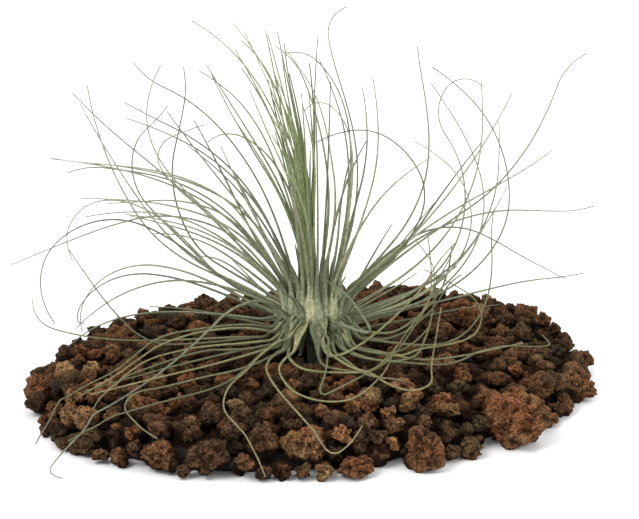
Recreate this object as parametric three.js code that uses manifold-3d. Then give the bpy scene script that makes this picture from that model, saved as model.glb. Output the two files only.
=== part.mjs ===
// Air plant: a thread-leaved rosette standing in a low mound of red-brown lava gravel.
// Millimetres, +Z up. The origin is the middle of the mound's flat underside.
//
// Most leaves are a habit: the way a leaf leaves the bulb (azimuth), its length, and the
// pitch it holds from root to tip. Pitches run at even steps along the leaf, in
// degrees above the horizon; past 90 the leaf bends back over itself.

import * as THREE from 'three';
import { mergeVertices } from 'three/addons/utils/BufferGeometryUtils.js';
import Module from 'manifold-3d';

const wasm = await Module();
wasm.setup();

// ---------------------------------------------------------------- dimensions
const RIM = 104;             // mean radius of the mound at the ground
const RIM_OVAL = 12;         // half the difference between its long and short radius
const RIM_TURN = 24;         // degrees from +X to its long axis
const CROWN = 17;            // height of the mound between its stones, in the middle
const CROWN_FALL = 4;        // how much of that is lost towards the edge
const SHOULDER = 14;         // width of the rounded edge
const HOLLOW = 7;            // depth of the hollow under the bulb
const HOLLOW_REACH = 16;     // its reach from the axis
const PROUD = 4;             // how far a stone's top stands over the mound
const GAP_DEPTH = 2.4;       // how far the gravel between the stones lies under it
const REST = 4.7;            // a leaf lying on the stones runs this far over the mound

const STALK_R = 4;           // the short stem below the bulb
const STALK_FOOT = 8.5;      // its foot, standing in a plain hole in the gravel
const HOLE_R = 4.5;
const HOLE_FLOOR = 8.1;

const SEAM = 0.3;            // clearance between pieces that lie against each other
const BULB_FLOOR = 24.6;     // underside of the bulb
const BULB_TOP = 38.8;
const COLLAR_FLOOR = 19.5;   // the ring of old leaf bases under the bulb
const HEART_R = 5;           // the heart's root, seated in the top of the bulb
const HEART_FLOOR = 35.5;

const STEPS = 40;            // integration steps along a leaf
const LEAF_SEGMENTS = { fan: 8, heart: 8, low: 10 }; // straight lengths that a leaf is built from
const ROUTE_SEGMENTS = { fan: 20, low: 10 };
const ROUTE_RISE = 20;       // degrees at which a followed leaf leaves its root
const SINK = 1.5;            // how far a leaf may be pressed in between the stones
const SETTLING = 1.6;        // how softly it comes to lie on them
const SHEATH = 14;           // length of the wide base that clasps the bulb

// ---------------------------------------------------------------- leaf habits
// [azimuth, length, [pitch from root to tip], [swing of the azimuth along the leaf]]
const FAN_LEAVES = [
  [176, 132, [52, 50, 25, 4, -16, -22, -24, -24]],
  [180, 122, [60, 60, 55, 30, 16, 6, 5, 12]],
  [187, 114, [58, 58, 52, 38, 25, 12, 8, -25]],
  [170, 122, [48, 46, 44, 42, 40, 38, 42, 48]],
  [196, 122, [55, 50, 46, 45, 50, 70, 100, 125]],
  [182, 118, [75, 74, 68, 60, 52, 40, 25, 60]],
  [192, 108, [50, 50, 52, 45, 42, 60, 160, 165]],
  [173, 108, [70, 68, 55, 38, 25, 28]],
  [185, 94, [60, 56, 42, 15, -4, 0]],
  [150, 140, [18, 16, 14, 30, 52, 62, 72, 82]],
  [158, 126, [24, 18, 38, 52, 56, 60]],
  [141, 136, [20, 14, 16, 52, 80, 108, 105, 75]],
  [152, 138, [16, 20, 42, 34, 12, -18, -60, -130]],
  [146, 136, [14, 14, 32, 34, 36, 90, 140, 130]],
  [172, 146, [24, 34, 38, 22, -14, -45, -90, -130]],
  [175, 108, [20, 28, 22, 6, -25, -60, -110]],
  [166, 112, [14, 20, 14, 2, -25, -55, -140]],
  [179, 96, [28, 20, 6, -16, -34, -48]],
  [183, 94, [10, 8, 4, -6, -24, -55]],
  [0, 122, [74, 74, 84, 94, 104, 108, 100, 10]],
  [-10, 112, [76, 80, 84, 88, 96, 112, 135, 205]],
  [-18, 94, [72, 78, 84, 84, 90, 105, 140, 240], [0, 0, 15, 40]],
  [-14, 120, [48, 42, 50, 76, 118, 145, 185, 205], [0, 0, 15, 40]],
  [8, 144, [40, 38, 34, 34, 50, 62, 72, 20]],
  [13, 108, [44, 40, 34, 30, 26, 28, 38]],
  [20, 124, [38, 38, 28, 16, 4, -8, -6, 14]],
  [27, 126, [40, 36, 22, -4, -28, -34, -30, -32]],
  [4, 100, [10, 12, 12, 14, 12, 4, 12]],
  [-8, 154, [14, 22, 38, 60, 92, 112, 135, 150]],
  [-16, 136, [10, 24, 44, 64, 90, 112, 122, 126]],
  [-4, 140, [16, 30, 52, 78, 100, 125, 60, -60]],
  [38, 124, [34, 34, 40, 60, 84, 98, 104, 98]],
  [-2, 114, [14, 20, 36, 56, 82, 112, 140, 155]],
  [3, 114, [18, 24, 42, 66, 88, 94]],
  [12, 120, [26, 30, 40, 54, 68, 82, 92, 96]],
  [16, 112, [40, 40, 46, 52, 58, 64]],
];

const HEART_LEAVES = [
  [174, 84, [80, 78, 72, 55, 25, -50]],
  [178, 100, [80, 78, 74, 70, 66, 55, 40, 28]],
  [163, 120, [84, 82, 78, 72, 64, 52, 38, 25]],
  [150, 112, [95, 88, 80, 74, 66, 58, 52, 40]],
  [170, 104, [90, 84, 80, 74, 64, 38]],
  [20, 104, [78, 85, 96, 104, 112, 150]],
  [8, 100, [77, 80, 88, 98, 100, 108, 122, 130]],
  [160, 98, [92, 88, 82, 78, 78, 86]],
];

const LOW_LEAVES = [
  [186, 112, [-2, 0, 0, 4, 10, 20, 110]],
  [190, 108, [0, -8, 8, 48, 58, 60]],
  [-25, 110, [5, 0, 10, 50, 80, 95, 80], [0, 10]],
];

// Leaves that wind too much for a habit are followed from place to place instead, in
// millimetres, from where they leave the bulb to their tips.
const ROUTES = [
  // front: down steeply, a sharp turn on the gravel, then up to the right
  ['low', [[5, -22, 29], [5, -30, 25], [4, -43, 22], [2, -57, 20], [3, -62, 20], [7, -58, 20],
    [19, -43, 21], [29, -38, 29], [36, -37, 39], [43, -37, 50], [44, -37, 62], [37, -37, 73]]],
  // low left: out over the gravel, then down onto it and off its edge
  ['low', [[-25, -10, 30], [-48, -22, 32], [-60, -29, 31], [-67, -34, 27], [-76, -42, 22], [-88, -55, 19],
    [-98, -64, 10], [-102, -68, 4]]],
  ['low', [[-25, -14, 30], [-42, -23, 32], [-57, -31, 30], [-66, -37, 26], [-76, -46, 21], [-87, -60, 18]]],
  ['fan', [[-19, -12, 40], [-27, -17, 41], [-34, -23, 39], [-41, -30, 34], [-54, -44, 26], [-68, -60, 20],
    [-82, -77, 14], [-91, -86, 7], [-94, -92, 3], [-89, -96, 2]]],
  ['low', [[-29, -18, 25], [-36, -22, 26], [-49, -27, 26], [-64, -35, 24], [-74, -50, 20], [-79, -62, 18]]],
  ['low', [[-25, -21, 24], [-40, -28, 26], [-51, -33, 25], [-61, -38, 23], [-70, -44, 21], [-78, -63, 20],
    [-80, -74, 19]]],
  ['low', [[-27, -28, 20], [-47, -41, 22], [-63, -47, 21], [-73, -51, 21], [-78, -62, 20], [-75, -75, 19],
    [-68, -88, 18]]],
  ['low', [[-13, -20, 27], [-21, -32, 25], [-26, -42, 22], [-31, -52, 20], [-33, -66, 20], [-32, -78, 20],
    [-27, -90, 19], [-21, -99, 14], [-17, -105, 7]]],
  ['low', [[-15, -19, 25], [-23, -32, 23], [-29, -45, 21], [-38, -56, 20], [-52, -66, 20], [-68, -76, 19],
    [-80, -82, 16], [-88, -84, 12]]],
  // front: down onto the gravel, then round to the right and up
  ['low', [[-10, -17, 21], [-9, -28, 20], [-4, -37, 20], [6, -40, 20], [20, -40, 21], [30, -37, 28],
    [38, -34, 39], [43, -32, 48], [44, -25, 56], [43, -18, 68]]],
  ['low', [[1, -18, 20], [3, -32, 20], [9, -37, 20], [19, -40, 21], [30, -37, 28], [39, -36, 42],
    [47, -34, 58], [51, -32, 65]]],
  ['low', [[4, -19, 22], [7, -22, 20], [17, -20, 25], [29, -14, 33], [41, -8, 44], [48, -4, 54],
    [54, -3, 61]]],
  ['fan', [[10, -14, 31], [17, -20, 31], [20, -22, 31], [21, -22, 33], [17, -20, 39], [12, -18, 45],
    [4, -15, 50]]],
  ['low', [[-12, -15, 21], [-17, -27, 21], [-18, -40, 21], [-14, -56, 20], [-7, -76, 20], [0, -92, 18],
    [6, -98, 13], [12, -95, 15], [17, -88, 19]]],
  ['low', [[-12, -28, 20], [-13, -42, 20], [-7, -59, 19], [4, -67, 19], [15, -64, 20], [25, -44, 21],
    [31, -33, 30]]],
  // low right: along the gravel and up, or on to its edge
  ['low', [[10, -16, 22], [18, -25, 21], [29, -29, 21], [38, -27, 23], [42, -22, 28], [45, -16, 36],
    [47, -12, 51]]],
  ['low', [[7, -22, 20], [14, -36, 21], [21, -42, 21], [28, -52, 20], [36, -57, 20], [43, -50, 20],
    [44, -38, 24], [46, -31, 33], [48, -24, 42]]],
  ['low', [[18, -4, 25], [29, -3, 24], [37, -2, 28], [47, 1, 37], [52, 7, 45], [54, 12, 55]]],
  ['low', [[18, -3, 22], [27, -6, 22], [37, -6, 27], [46, -4, 35], [52, -3, 44], [57, -2, 48]]],
  ['low', [[18, -17, 21], [32, -23, 21], [41, -17, 22], [55, -8, 21], [63, 1, 22], [66, 8, 28],
    [61, 10, 36], [43, 11, 46]]],
  ['low', [[19, -25, 21], [33, -30, 21], [48, -32, 21], [56, -27, 21], [63, -18, 21], [73, -11, 21],
    [84, -9, 20], [92, -5, 19], [90, 6, 19]]],
];

// Between those leaves the rosette is filled by a rule: count, azimuth range,
// length range, range of the first pitch, and how far the tip falls from it.
const FILLS = [
  { group: 'fan', count: 4, from: 152, to: 202, long: [92, 122], rise: [50, 82], fall: [38, 78], seed: 3 },
  { group: 'fan', count: 5, from: 88, to: 146, long: [74, 104], rise: [12, 60], fall: [-10, 50], seed: 17 },
  { group: 'fan', count: 4, from: 36, to: 84, long: [74, 100], rise: [2, 16], fall: [-30, 5], seed: 29 },
  { group: 'fan', count: 2, from: -14, to: 30, long: [84, 116], rise: [12, 38], fall: [-60, 0], seed: 31 },
  { group: 'fan', count: 6, from: -150, to: -35, long: [78, 106], rise: [62, 80], fall: [-6, 46], seed: 53 },
  { group: 'heart', count: 14, from: 105, to: 255, long: [72, 108], rise: [77, 90], fall: [4, 34], seed: 47 },
  { group: 'low', count: 2, from: -170, to: -120, long: [70, 108], rise: [-12, 4], fall: [0, 16], seed: 61 },
  { group: 'low', count: 5, from: 20, to: 160, long: [66, 90], rise: [-8, 4], fall: [-4, 14], seed: 79 },
];

// The larger stones that lie free on the mound: [x, y, size, height over width].
const FREE_STONES = [
  [73, -55, 26, 0.80], [40, -80, 16, 1.00], [57, -70, 11, 0.80], [14, -89, 12, 0.80],
  [-2, -82, 16, 0.95], [-19, -83, 15, 0.95], [-38, -87, 16, 0.80], [-56, -84, 13, 0.85],
  [-62, -55, 20, 0.75], [-82, -68, 14, 0.85], [100, -13, 18, 0.90], [84, -30, 14, 0.85],
  [25, 66, 17, 0.80], [-46, 62, 18, 0.80], [60, 58, 16, 0.80], [-90, -40, 12, 0.85],
];
// The rest of the mound's skin of stones: [how many, from, to], as a spiral between two
// distances in from the rim (0 is the rim), and their size.
const PACKED = [
  { count: 40, ring: 8, size: [15, 19.5], seed: 0 },
  { count: 32, ring: 20, size: [15, 20.5], seed: 100 },
  { count: 33, ring: null, size: [17, 23.5], seed: 200 },
];

// ---------------------------------------------------------------- small helpers
const rad = THREE.MathUtils.degToRad;
const { clamp, lerp } = THREE.MathUtils;
const GOLDEN = 137.508;

function chance(n) {
  const v = Math.sin(n * 12.9898 + 4.1) * 43758.5453;
  return v - Math.floor(v);
}

function smooth(t) {
  const u = clamp(t, 0, 1);
  return u * u * (3 - 2 * u);
}

function along(values, u) {
  const last = values.length - 1;
  if (last === 0) return values[0];
  const x = clamp(u, 0, 1) * last;
  const i = Math.min(Math.floor(x), last - 1);
  return lerp(values[i], values[i + 1], x - i);
}

// ---------------------------------------------------------------- the mound
function rimAt(angle) {
  return RIM + RIM_OVAL * Math.cos(2 * (angle - rad(RIM_TURN)));
}

function crownAt(x, y) {
  const r = Math.hypot(x, y);
  const rim = rimAt(Math.atan2(y, x));
  return CROWN - CROWN_FALL * (r / rim) ** 2 - HOLLOW * Math.exp(-((r / HOLLOW_REACH) ** 2));
}

function moundAt(x, y) {
  const edge = Math.hypot(x, y) - (rimAt(Math.atan2(y, x)) - SHOULDER);
  return crownAt(x, y) * (1 - smooth(edge / SHOULDER));
}

function restAt(x, y) {
  const edge = Math.hypot(x, y) - (rimAt(Math.atan2(y, x)) - 5);
  return 1 + (crownAt(x, y) + REST - 1) * (1 - smooth(edge / 12));
}

// ---------------------------------------------------------------- solids
function solidOf(geometry) {
  const bare = geometry.clone();
  bare.deleteAttribute('normal');
  bare.deleteAttribute('uv');
  const merged = mergeVertices(bare, 1e-4);
  return new wasm.Manifold(new wasm.Mesh({
    numProp: 3,
    vertProperties: Float32Array.from(merged.attributes.position.array),
    triVerts: Uint32Array.from(merged.index.array),
  }));
}

function geometryOf(solid) {
  const mesh = solid.getMesh();
  const geometry = new THREE.BufferGeometry();
  geometry.setAttribute('position', new THREE.BufferAttribute(Float32Array.from(mesh.vertProperties), 3));
  geometry.setIndex(Array.from(mesh.triVerts));
  geometry.computeVertexNormals();
  return geometry;
}

// The outer skin of the largest body of a cut or joined solid: crumbs left by a cut are
// dropped, and a pocket that crossing leaves close is filled.
function largest(solid) {
  return solid.decompose().sort((a, b) => b.volume() - a.volume())[0];
}

function turned(profile, sides) {
  const geometry = new THREE.LatheGeometry(profile.map(([r, z]) => new THREE.Vector2(r, z)), sides);
  return geometry.rotateX(Math.PI / 2);
}

// ---------------------------------------------------------------- leaves
function rootOf(group, pitch, serial) {
  if (group === 'low') return { r: 7, z: COLLAR_FLOOR + 1.4 + 1.4 * clamp((pitch + 35) / 40, 0, 1) };
  if (group === 'heart') return { r: 0.6 + 2.2 * ((serial * 0.618) % 1), z: 41 };
  const rise = clamp((pitch - 5) / 72, 0, 1);
  return { r: 8.2 - 2.6 * rise, z: 26.2 + 11.0 * rise };
}

// The height of a leaf that would pass at z: it comes to lie on the stones.
function restingAt(x, y, z) {
  const floor = restAt(x, y);
  const lift = (Math.max(z, floor - SINK) - floor) / SETTLING;
  return lift > 30 ? z : floor + SETTLING * Math.log1p(Math.exp(lift));
}

// A followed leaf's run. Where it folds back, the blade keeps the same face up the fold.
function followed({ azimuth, long, curve }) {
  const axis = new THREE.Vector3(0, 0, 1);
  const run = curve.getSpacedPoints(STEPS).map((place, k) => {
    const { x, y, z } = place.applyAxisAngle(axis, rad(azimuth));
    return { x, y, z: restingAt(x, y, z), at: (k * long) / STEPS };
  });
  run.forEach((p, k) => {
    const a = run[Math.max(k - 1, 0)];
    const b = run[Math.min(k + 1, STEPS)];
    p.tilt = Math.atan2(b.z - a.z, Math.hypot(b.x - a.x, b.y - a.y));
    p.heading = Math.atan2(b.y - a.y, b.x - a.x);
    if (k > 0 && Math.cos(p.heading - run[k - 1].heading) < 0) {
      p.heading += Math.PI;
      p.tilt = Math.PI - p.tilt;
    }
  });
  return run;
}

function runOf(leaf) {
  if (leaf.curve) return followed(leaf);
  const { group, azimuth, long, pitch, swing, serial } = leaf;
  const root = rootOf(group, pitch[0], serial);
  const base = rad(azimuth);
  let x = root.r * Math.cos(base);
  let y = root.r * Math.sin(base);
  let { z } = root;
  const step = long / STEPS;
  const run = [];
  for (let k = 0; k <= STEPS; k += 1) {
    const u = Math.max(0, (k / STEPS - 0.06) / 0.94);
    const tilt = rad(along(pitch, u));
    const heading = base + rad(along(swing, u));
    run.push({ x, y, z: restingAt(x, y, z), tilt, heading, at: k * step });
    x += step * Math.cos(tilt) * Math.cos(heading);
    y += step * Math.cos(tilt) * Math.sin(heading);
    z += step * Math.sin(tilt);
    z = Math.max(z, restAt(x, y) - SINK);
  }
  return run;
}

function widthAt(s, long, group) {
  if (s < SHEATH) return lerp(group === 'heart' ? 3.2 : 4.8, group === 'heart' ? 2.2 : 2.8, smooth(s / SHEATH));
  if (group === 'heart') return lerp(2.2, 0.85, clamp((s - SHEATH) / Math.max(long * 0.55, 1), 0, 1));
  if (s < 30) return lerp(2.8, 1.6, (s - SHEATH) / (30 - SHEATH));
  return lerp(1.6, 0.85, clamp((s - 30) / Math.max(long - 30, 1), 0, 1));
}

function thicknessAt(s, long, group) {
  if (s < SHEATH) return lerp(group === 'heart' ? 1.6 : 2.2, 1.2, s / SHEATH);
  return lerp(1.2, 0.65, clamp((s - SHEATH) / Math.max(long * 0.6, 1), 0, 1));
}

// A leaf keeps its habit but turns a little where it would run into another group's leaf.
const CELL = 4;
const taken = new Map();

function segmentsOf({ group, curve }) {
  return (curve ? ROUTE_SEGMENTS : LEAF_SEGMENTS)[group];
}

function samplesOf(run, leaf) {
  const { long, group } = leaf;
  const stride = STEPS / segmentsOf(leaf);
  const out = [];
  for (let k = 0; k < STEPS; k += stride) {
    const a = run[k];
    const b = run[k + stride];
    const n = Math.ceil((b.at - a.at) / 1.2);
    for (let i = 0; i < n; i += 1) {
      const t = i / n;
      const s = lerp(a.at, b.at, t);
      out.push({
        x: lerp(a.x, b.x, t), y: lerp(a.y, b.y, t), z: lerp(a.z, b.z, t),
        half: Math.max(widthAt(s, long, group), thicknessAt(s, long, group)) / 2, s,
      });
    }
  }
  return out;
}

function cellOf(v) {
  return Math.floor(v / CELL);
}

function runsInto(samples, group) {
  for (const p of samples) {
    if (p.s < 8) continue;
    for (let i = -1; i <= 1; i += 1) {
      for (let j = -1; j <= 1; j += 1) {
        for (let k = -1; k <= 1; k += 1) {
          const near = taken.get(`${cellOf(p.x) + i},${cellOf(p.y) + j},${cellOf(p.z) + k}`);
          if (!near) continue;
          for (const q of near) {
            if (q.group === group) continue;
            const reach = p.half + q.half + 1.1;
            const d = (p.x - q.x) ** 2 + (p.y - q.y) ** 2 + (p.z - q.z) ** 2;
            if (d < reach * reach) return true;
          }
        }
      }
    }
  }
  return false;
}

const TURNS = [0, 2, -2, 4, -4, 6, -6, 8, -8, 11, -11, 14, -14, 18, -18, 23, -23, 28, -28];

function settle(leaf) {
  for (const turn of TURNS) {
    const tried = { ...leaf, azimuth: leaf.azimuth + turn };
    const run = runOf(tried);
    const samples = samplesOf(run, leaf);
    if (runsInto(samples, leaf.group)) continue;
    for (const p of samples) {
      const key = `${cellOf(p.x)},${cellOf(p.y)},${cellOf(p.z)}`;
      if (!taken.has(key)) taken.set(key, []);
      taken.get(key).push({ ...p, group: leaf.group });
    }
    return { ...tried, run };
  }
  return null;
}

function habit(group, row, serial) {
  const [azimuth, long, pitch, swing = [0]] = row;
  return { group, azimuth, long, pitch, swing, serial };
}

function filled({ group, count, from, to, long, rise, fall, seed }) {
  const out = [];
  for (let i = 0; i < count; i += 1) {
    const n = seed + i * 7;
    const spread = (i + 0.5 + 0.6 * (chance(n) - 0.5)) / count;
    const first = lerp(rise[0], rise[1], (i * 0.618 + chance(n + 1) * 0.2) % 1);
    const last = first - lerp(fall[0], fall[1], chance(n + 2));
    const bow = lerp(-14, 16, chance(n + 3));
    const pitch = [first, lerp(first, last, 0.15) + bow * 0.4, lerp(first, last, 0.45) + bow,
      lerp(first, last, 0.8) + bow * 0.5, last];
    out.push(habit(group, [lerp(from, to, spread), lerp(long[0], long[1], chance(n + 4)), pitch,
      [0, lerp(-14, 14, chance(n + 5))]], 40 + i));
  }
  return out;
}

function routed([group, places], serial) {
  const start = Math.atan2(places[0][1], places[0][0]);
  const root = rootOf(group, ROUTE_RISE, serial);
  const points = [[root.r * Math.cos(start), root.r * Math.sin(start), root.z], ...places];
  const curve = new THREE.CatmullRomCurve3(points.map((p) => new THREE.Vector3(...p)), false, 'catmullrom');
  return { group, azimuth: 0, long: curve.getLength(), curve, serial };
}

const leaves = [
  ...HEART_LEAVES.map((row, i) => habit('heart', row, i)),
  ...ROUTES.map(routed),
  ...FAN_LEAVES.map((row, i) => habit('fan', row, i)),
  ...LOW_LEAVES.map((row, i) => habit('low', row, i)),
  ...FILLS.flatMap(filled),
].map(settle).filter(Boolean);

// A blade: a three-sided bar, keeled above, bent along its run.
function blade(leaf) {
  const { run, long, group } = leaf;
  const segments = segmentsOf(leaf);
  const geometry = new THREE.CylinderGeometry(1, 1, 1, 3, segments);
  const stride = STEPS / segments;
  const place = geometry.attributes.position;
  for (let i = 0; i < place.count; i += 1) {
    const knot = Math.round((place.getY(i) + 0.5) * segments);
    const p = run[knot * stride];
    const w = widthAt(p.at, long, group) / 1.732;
    const t = thicknessAt(p.at, long, group) / 1.5;
    const across = place.getX(i) * w;
    const over = -place.getZ(i) * t;
    place.setXYZ(
      i,
      p.x - across * Math.sin(p.heading) - over * Math.sin(p.tilt) * Math.cos(p.heading),
      p.y + across * Math.cos(p.heading) - over * Math.sin(p.tilt) * Math.sin(p.heading),
      p.z + over * Math.cos(p.tilt),
    );
  }
  return geometry;
}

function fuse(core, group) {
  let solid = solidOf(core);
  for (const leaf of leaves.filter((item) => item.group === group)) {
    solid = solid.add(solidOf(blade(leaf)));
  }
  return largest(solid);
}

// ---------------------------------------------------------------- the plant
// The bulb is a ring of clasping leaf bases: its wall rises and falls around it.
function fluted(geometry, folds, depth) {
  const place = geometry.attributes.position;
  for (let i = 0; i < place.count; i += 1) {
    const r = Math.hypot(place.getX(i), place.getY(i));
    if (r < 7) continue;
    const angle = Math.atan2(place.getY(i), place.getX(i));
    const k = 1 - depth * (0.5 - 0.5 * Math.cos(folds * angle)) / r;
    place.setXY(i, place.getX(i) * k, place.getY(i) * k);
  }
  return geometry;
}

const bulbProfile = [
  [0, STALK_FOOT], [STALK_R, STALK_FOOT], [STALK_R, BULB_FLOOR], [9.2, BULB_FLOOR], [11.2, 26.6],
  [12, 29.4], [11.5, 32.4], [10.2, 35.6], [8.2, BULB_TOP], [HEART_R + SEAM, BULB_TOP],
  [HEART_R + SEAM, HEART_FLOOR - SEAM], [0, HEART_FLOOR - SEAM],
];
const heartProfile = [
  [0, HEART_FLOOR], [HEART_R, HEART_FLOOR], [HEART_R, 41.2], [3.8, 43.2], [0, 44.2],
];
const collarProfile = [
  [STALK_R + SEAM, COLLAR_FLOOR], [7.6, COLLAR_FLOOR], [10, 20.6], [10.8, 22.4], [10.2, BULB_FLOOR - SEAM],
  [STALK_R + SEAM, BULB_FLOOR - SEAM], [STALK_R + SEAM, COLLAR_FLOOR],
];

// ---------------------------------------------------------------- the stones
function lump(x, y, z, seed) {
  return 1
    + 0.13 * Math.sin(2.3 * x + 1.7 * y + seed)
    + 0.11 * Math.sin(3.1 * y - 2.2 * z + 1.9 * seed)
    + 0.09 * Math.sin(4.3 * z + 3.7 * x + 2.7 * seed);
}

function stoneAt({ x, y, size, squash, seed, detail, proud }) {
  const geometry = new THREE.IcosahedronGeometry(1, detail);
  const place = geometry.attributes.position;
  const yaw = seed * 2.4;
  const spin = new THREE.Euler(seed * 1.3, seed * 0.7, yaw);
  const way = new THREE.Vector3();
  let top = 0;
  for (let i = 0; i < place.count; i += 1) {
    way.fromBufferAttribute(place, i).applyEuler(spin);
    const reach = (size / 2) * lump(way.x, way.y, way.z, seed);
    place.setXYZ(i, way.x * reach, way.y * reach * 0.92, way.z * reach * squash);
    top = Math.max(top, place.getZ(i));
  }
  const height = moundAt(x, y) + proud - top;
  return geometry.translate(x, y, Math.max(height, size * squash * 0.4));
}

const ground = new THREE.BoxGeometry(400, 400, 60).translate(0, 0, 30);
const groundSolid = solidOf(ground);

function freeStone([x, y, size, squash], i) {
  return stoneAt({ x, y, size, squash, seed: i + 1.3, detail: size < 18 ? 0 : 1, proud: PROUD - 0.1 });
}

function packedStones() {
  const out = [];
  for (const { count, ring, size: [small, large], seed } of PACKED) {
    for (let i = 0; i < count; i += 1) {
      const n = seed + i;
      const size = lerp(small, large, chance(n + 900));
      const even = ring === null ? i * GOLDEN : (i + 0.35 * (chance(n + 500) - 0.5)) * (360 / count);
      const angle = rad(even);
      const r = ring === null
        ? 8 + Math.sqrt((i + 0.5) / count) * (rimAt(angle) - 34) + 2.4 * (chance(n + 700) - 0.5)
        : rimAt(angle) - ring + 2.6 * (chance(n + 700) - 0.5);
      const x = r * Math.cos(angle);
      const y = r * Math.sin(angle);
      if (FREE_STONES.some(([fx, fy, fs]) => Math.hypot(fx - x, fy - y) < fs * 0.42)) continue;
      out.push(stoneAt({
        x, y, size, squash: 0.74 + 0.2 * chance(n + 1100), seed: n * 0.37 + 0.2, detail: 0,
        proud: PROUD - (ring === null ? 2.0 : 0.8) * chance(n + 1300) - (r < 16 ? 1.2 : 0),
      }));
    }
  }
  return out;
}

// The body of the mound between the stones: flat below, domed above.
function moundBody() {
  const rings = 5;
  const profile = [[0, 0], [1, 0]];
  for (let k = rings; k > 0; k -= 1) profile.push([k / rings, 1]);
  profile.push([0, 1]);
  const geometry = turned(profile, 22);
  const place = geometry.attributes.position;
  for (let i = 0; i < place.count; i += 1) {
    const q = Math.hypot(place.getX(i), place.getY(i));
    const angle = Math.atan2(place.getY(i), place.getX(i));
    const r = q * (rimAt(angle) - 11);
    const x = r * Math.cos(angle);
    const y = r * Math.sin(angle);
    place.setXYZ(i, x, y, place.getZ(i) > 0.5 ? Math.max(moundAt(x, y) - GAP_DEPTH, 2) : 0);
  }
  return geometry;
}

const free = FREE_STONES.map((row, i) => solidOf(freeStone(row, i)));
let gravel = solidOf(moundBody());
for (const stone of packedStones()) gravel = gravel.add(solidOf(stone));
gravel = gravel.intersect(groundSolid);
FREE_STONES.forEach((row, i) => {
  const seat = freeStone(row, i);
  seat.computeBoundingBox();
  const middle = seat.boundingBox.getCenter(new THREE.Vector3());
  const grow = 1 + (2 * SEAM + 0.15) / (row[2] * 0.72);
  seat.translate(-middle.x, -middle.y, -middle.z).scale(grow, grow, grow + 0.01)
    .translate(middle.x, middle.y, middle.z);
  gravel = gravel.subtract(solidOf(seat));
});
const hole = new THREE.CylinderGeometry(HOLE_R, HOLE_R, 40, 20).rotateX(Math.PI / 2)
  .translate(0, 0, HOLE_FLOOR + 20);
gravel = largest(gravel.subtract(solidOf(hole)));

// ---------------------------------------------------------------- the scene
const SKIN = {
  fan: new THREE.MeshStandardMaterial({ color: 0x9aa791, roughness: 0.75, metalness: 0 }),
  heart: new THREE.MeshStandardMaterial({ color: 0x9fb26a, roughness: 0.6, metalness: 0 }),
  low: new THREE.MeshStandardMaterial({ color: 0xa3a274, roughness: 0.75, metalness: 0 }),
  lava: new THREE.MeshStandardMaterial({ color: 0x7a4f3f, roughness: 0.95, metalness: 0 }),
  ochre: new THREE.MeshStandardMaterial({ color: 0x93694c, roughness: 0.95, metalness: 0 }),
  dark: new THREE.MeshStandardMaterial({ color: 0x53433c, roughness: 0.95, metalness: 0 }),
};

const plant = new THREE.Group();

function addPiece(name, solid, material) {
  const mesh = new THREE.Mesh(geometryOf(solid), material);
  mesh.name = name;
  plant.add(mesh);
}

addPiece('gravel-bed', gravel, SKIN.lava);
free.forEach((stone, i) => {
  const skin = [SKIN.lava, SKIN.ochre, SKIN.dark][i % 3];
  addPiece(`lava-stone-${String(i + 1).padStart(2, '0')}`, largest(stone.intersect(groundSolid)), skin);
});
const throat = new THREE.CylinderGeometry(HEART_R + SEAM, HEART_R + SEAM, 12, 20).rotateX(Math.PI / 2)
  .translate(0, 0, HEART_FLOOR - SEAM + 6);
addPiece('rosette', largest(fuse(fluted(turned(bulbProfile, 24), 12, 1.3), 'fan').subtract(solidOf(throat))), SKIN.fan);
addPiece('heart-leaves', fuse(turned(heartProfile, 14), 'heart'), SKIN.heart);
addPiece('low-leaves', fuse(turned(collarProfile, 18), 'low'), SKIN.low);

export default plant;
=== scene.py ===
"""An air plant on a mound of lava gravel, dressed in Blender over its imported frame.

The sizes are millimetres, as in the part's own source, and become metres only where a
mesh is made. The plant is a rosette of fine channelled leaves on a bulb of clasping
sheaths; the mound is loose scoria with grit in its gaps.
"""

import logging
import math
from dataclasses import dataclass, field
from enum import Enum
from typing import Callable, Iterable, Optional, Sequence

import bmesh
import bpy
import numpy as np
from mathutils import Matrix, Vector

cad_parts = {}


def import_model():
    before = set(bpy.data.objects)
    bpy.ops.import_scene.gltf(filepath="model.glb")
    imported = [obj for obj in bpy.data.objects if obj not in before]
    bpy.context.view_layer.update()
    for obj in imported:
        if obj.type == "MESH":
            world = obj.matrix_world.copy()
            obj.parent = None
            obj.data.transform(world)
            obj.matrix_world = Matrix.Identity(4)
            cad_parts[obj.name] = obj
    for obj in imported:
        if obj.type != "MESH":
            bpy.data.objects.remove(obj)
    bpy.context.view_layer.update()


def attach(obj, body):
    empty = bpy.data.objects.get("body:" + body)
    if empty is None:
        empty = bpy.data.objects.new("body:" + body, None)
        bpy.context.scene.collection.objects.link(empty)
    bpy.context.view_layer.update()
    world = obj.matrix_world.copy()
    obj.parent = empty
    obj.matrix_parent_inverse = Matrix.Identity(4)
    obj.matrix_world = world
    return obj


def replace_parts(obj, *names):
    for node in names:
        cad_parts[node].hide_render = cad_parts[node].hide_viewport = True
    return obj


log = logging.getLogger("air_plant")

Colour = tuple[float, float, float]
Stops = tuple[tuple[float, Colour], ...]

MM = 0.001
GOLDEN_ANGLE = 137.508
GOLDEN_SHARE = 0.618
SHEATH = 14.0


# ------------------------------------------------------------------ small sums


def chance(n: float) -> float:
    """A repeatable draw between 0 and 1 for the number n."""
    v = math.sin(n * 12.9898 + 4.1) * 43758.5453
    return v - math.floor(v)


def clamp(v: float, low: float, high: float) -> float:
    """v, held between low and high."""
    return max(low, min(high, v))


def lerp(a: float, b: float, t: float) -> float:
    """The value t of the way from a to b."""
    return (1 - t) * a + t * b


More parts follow.
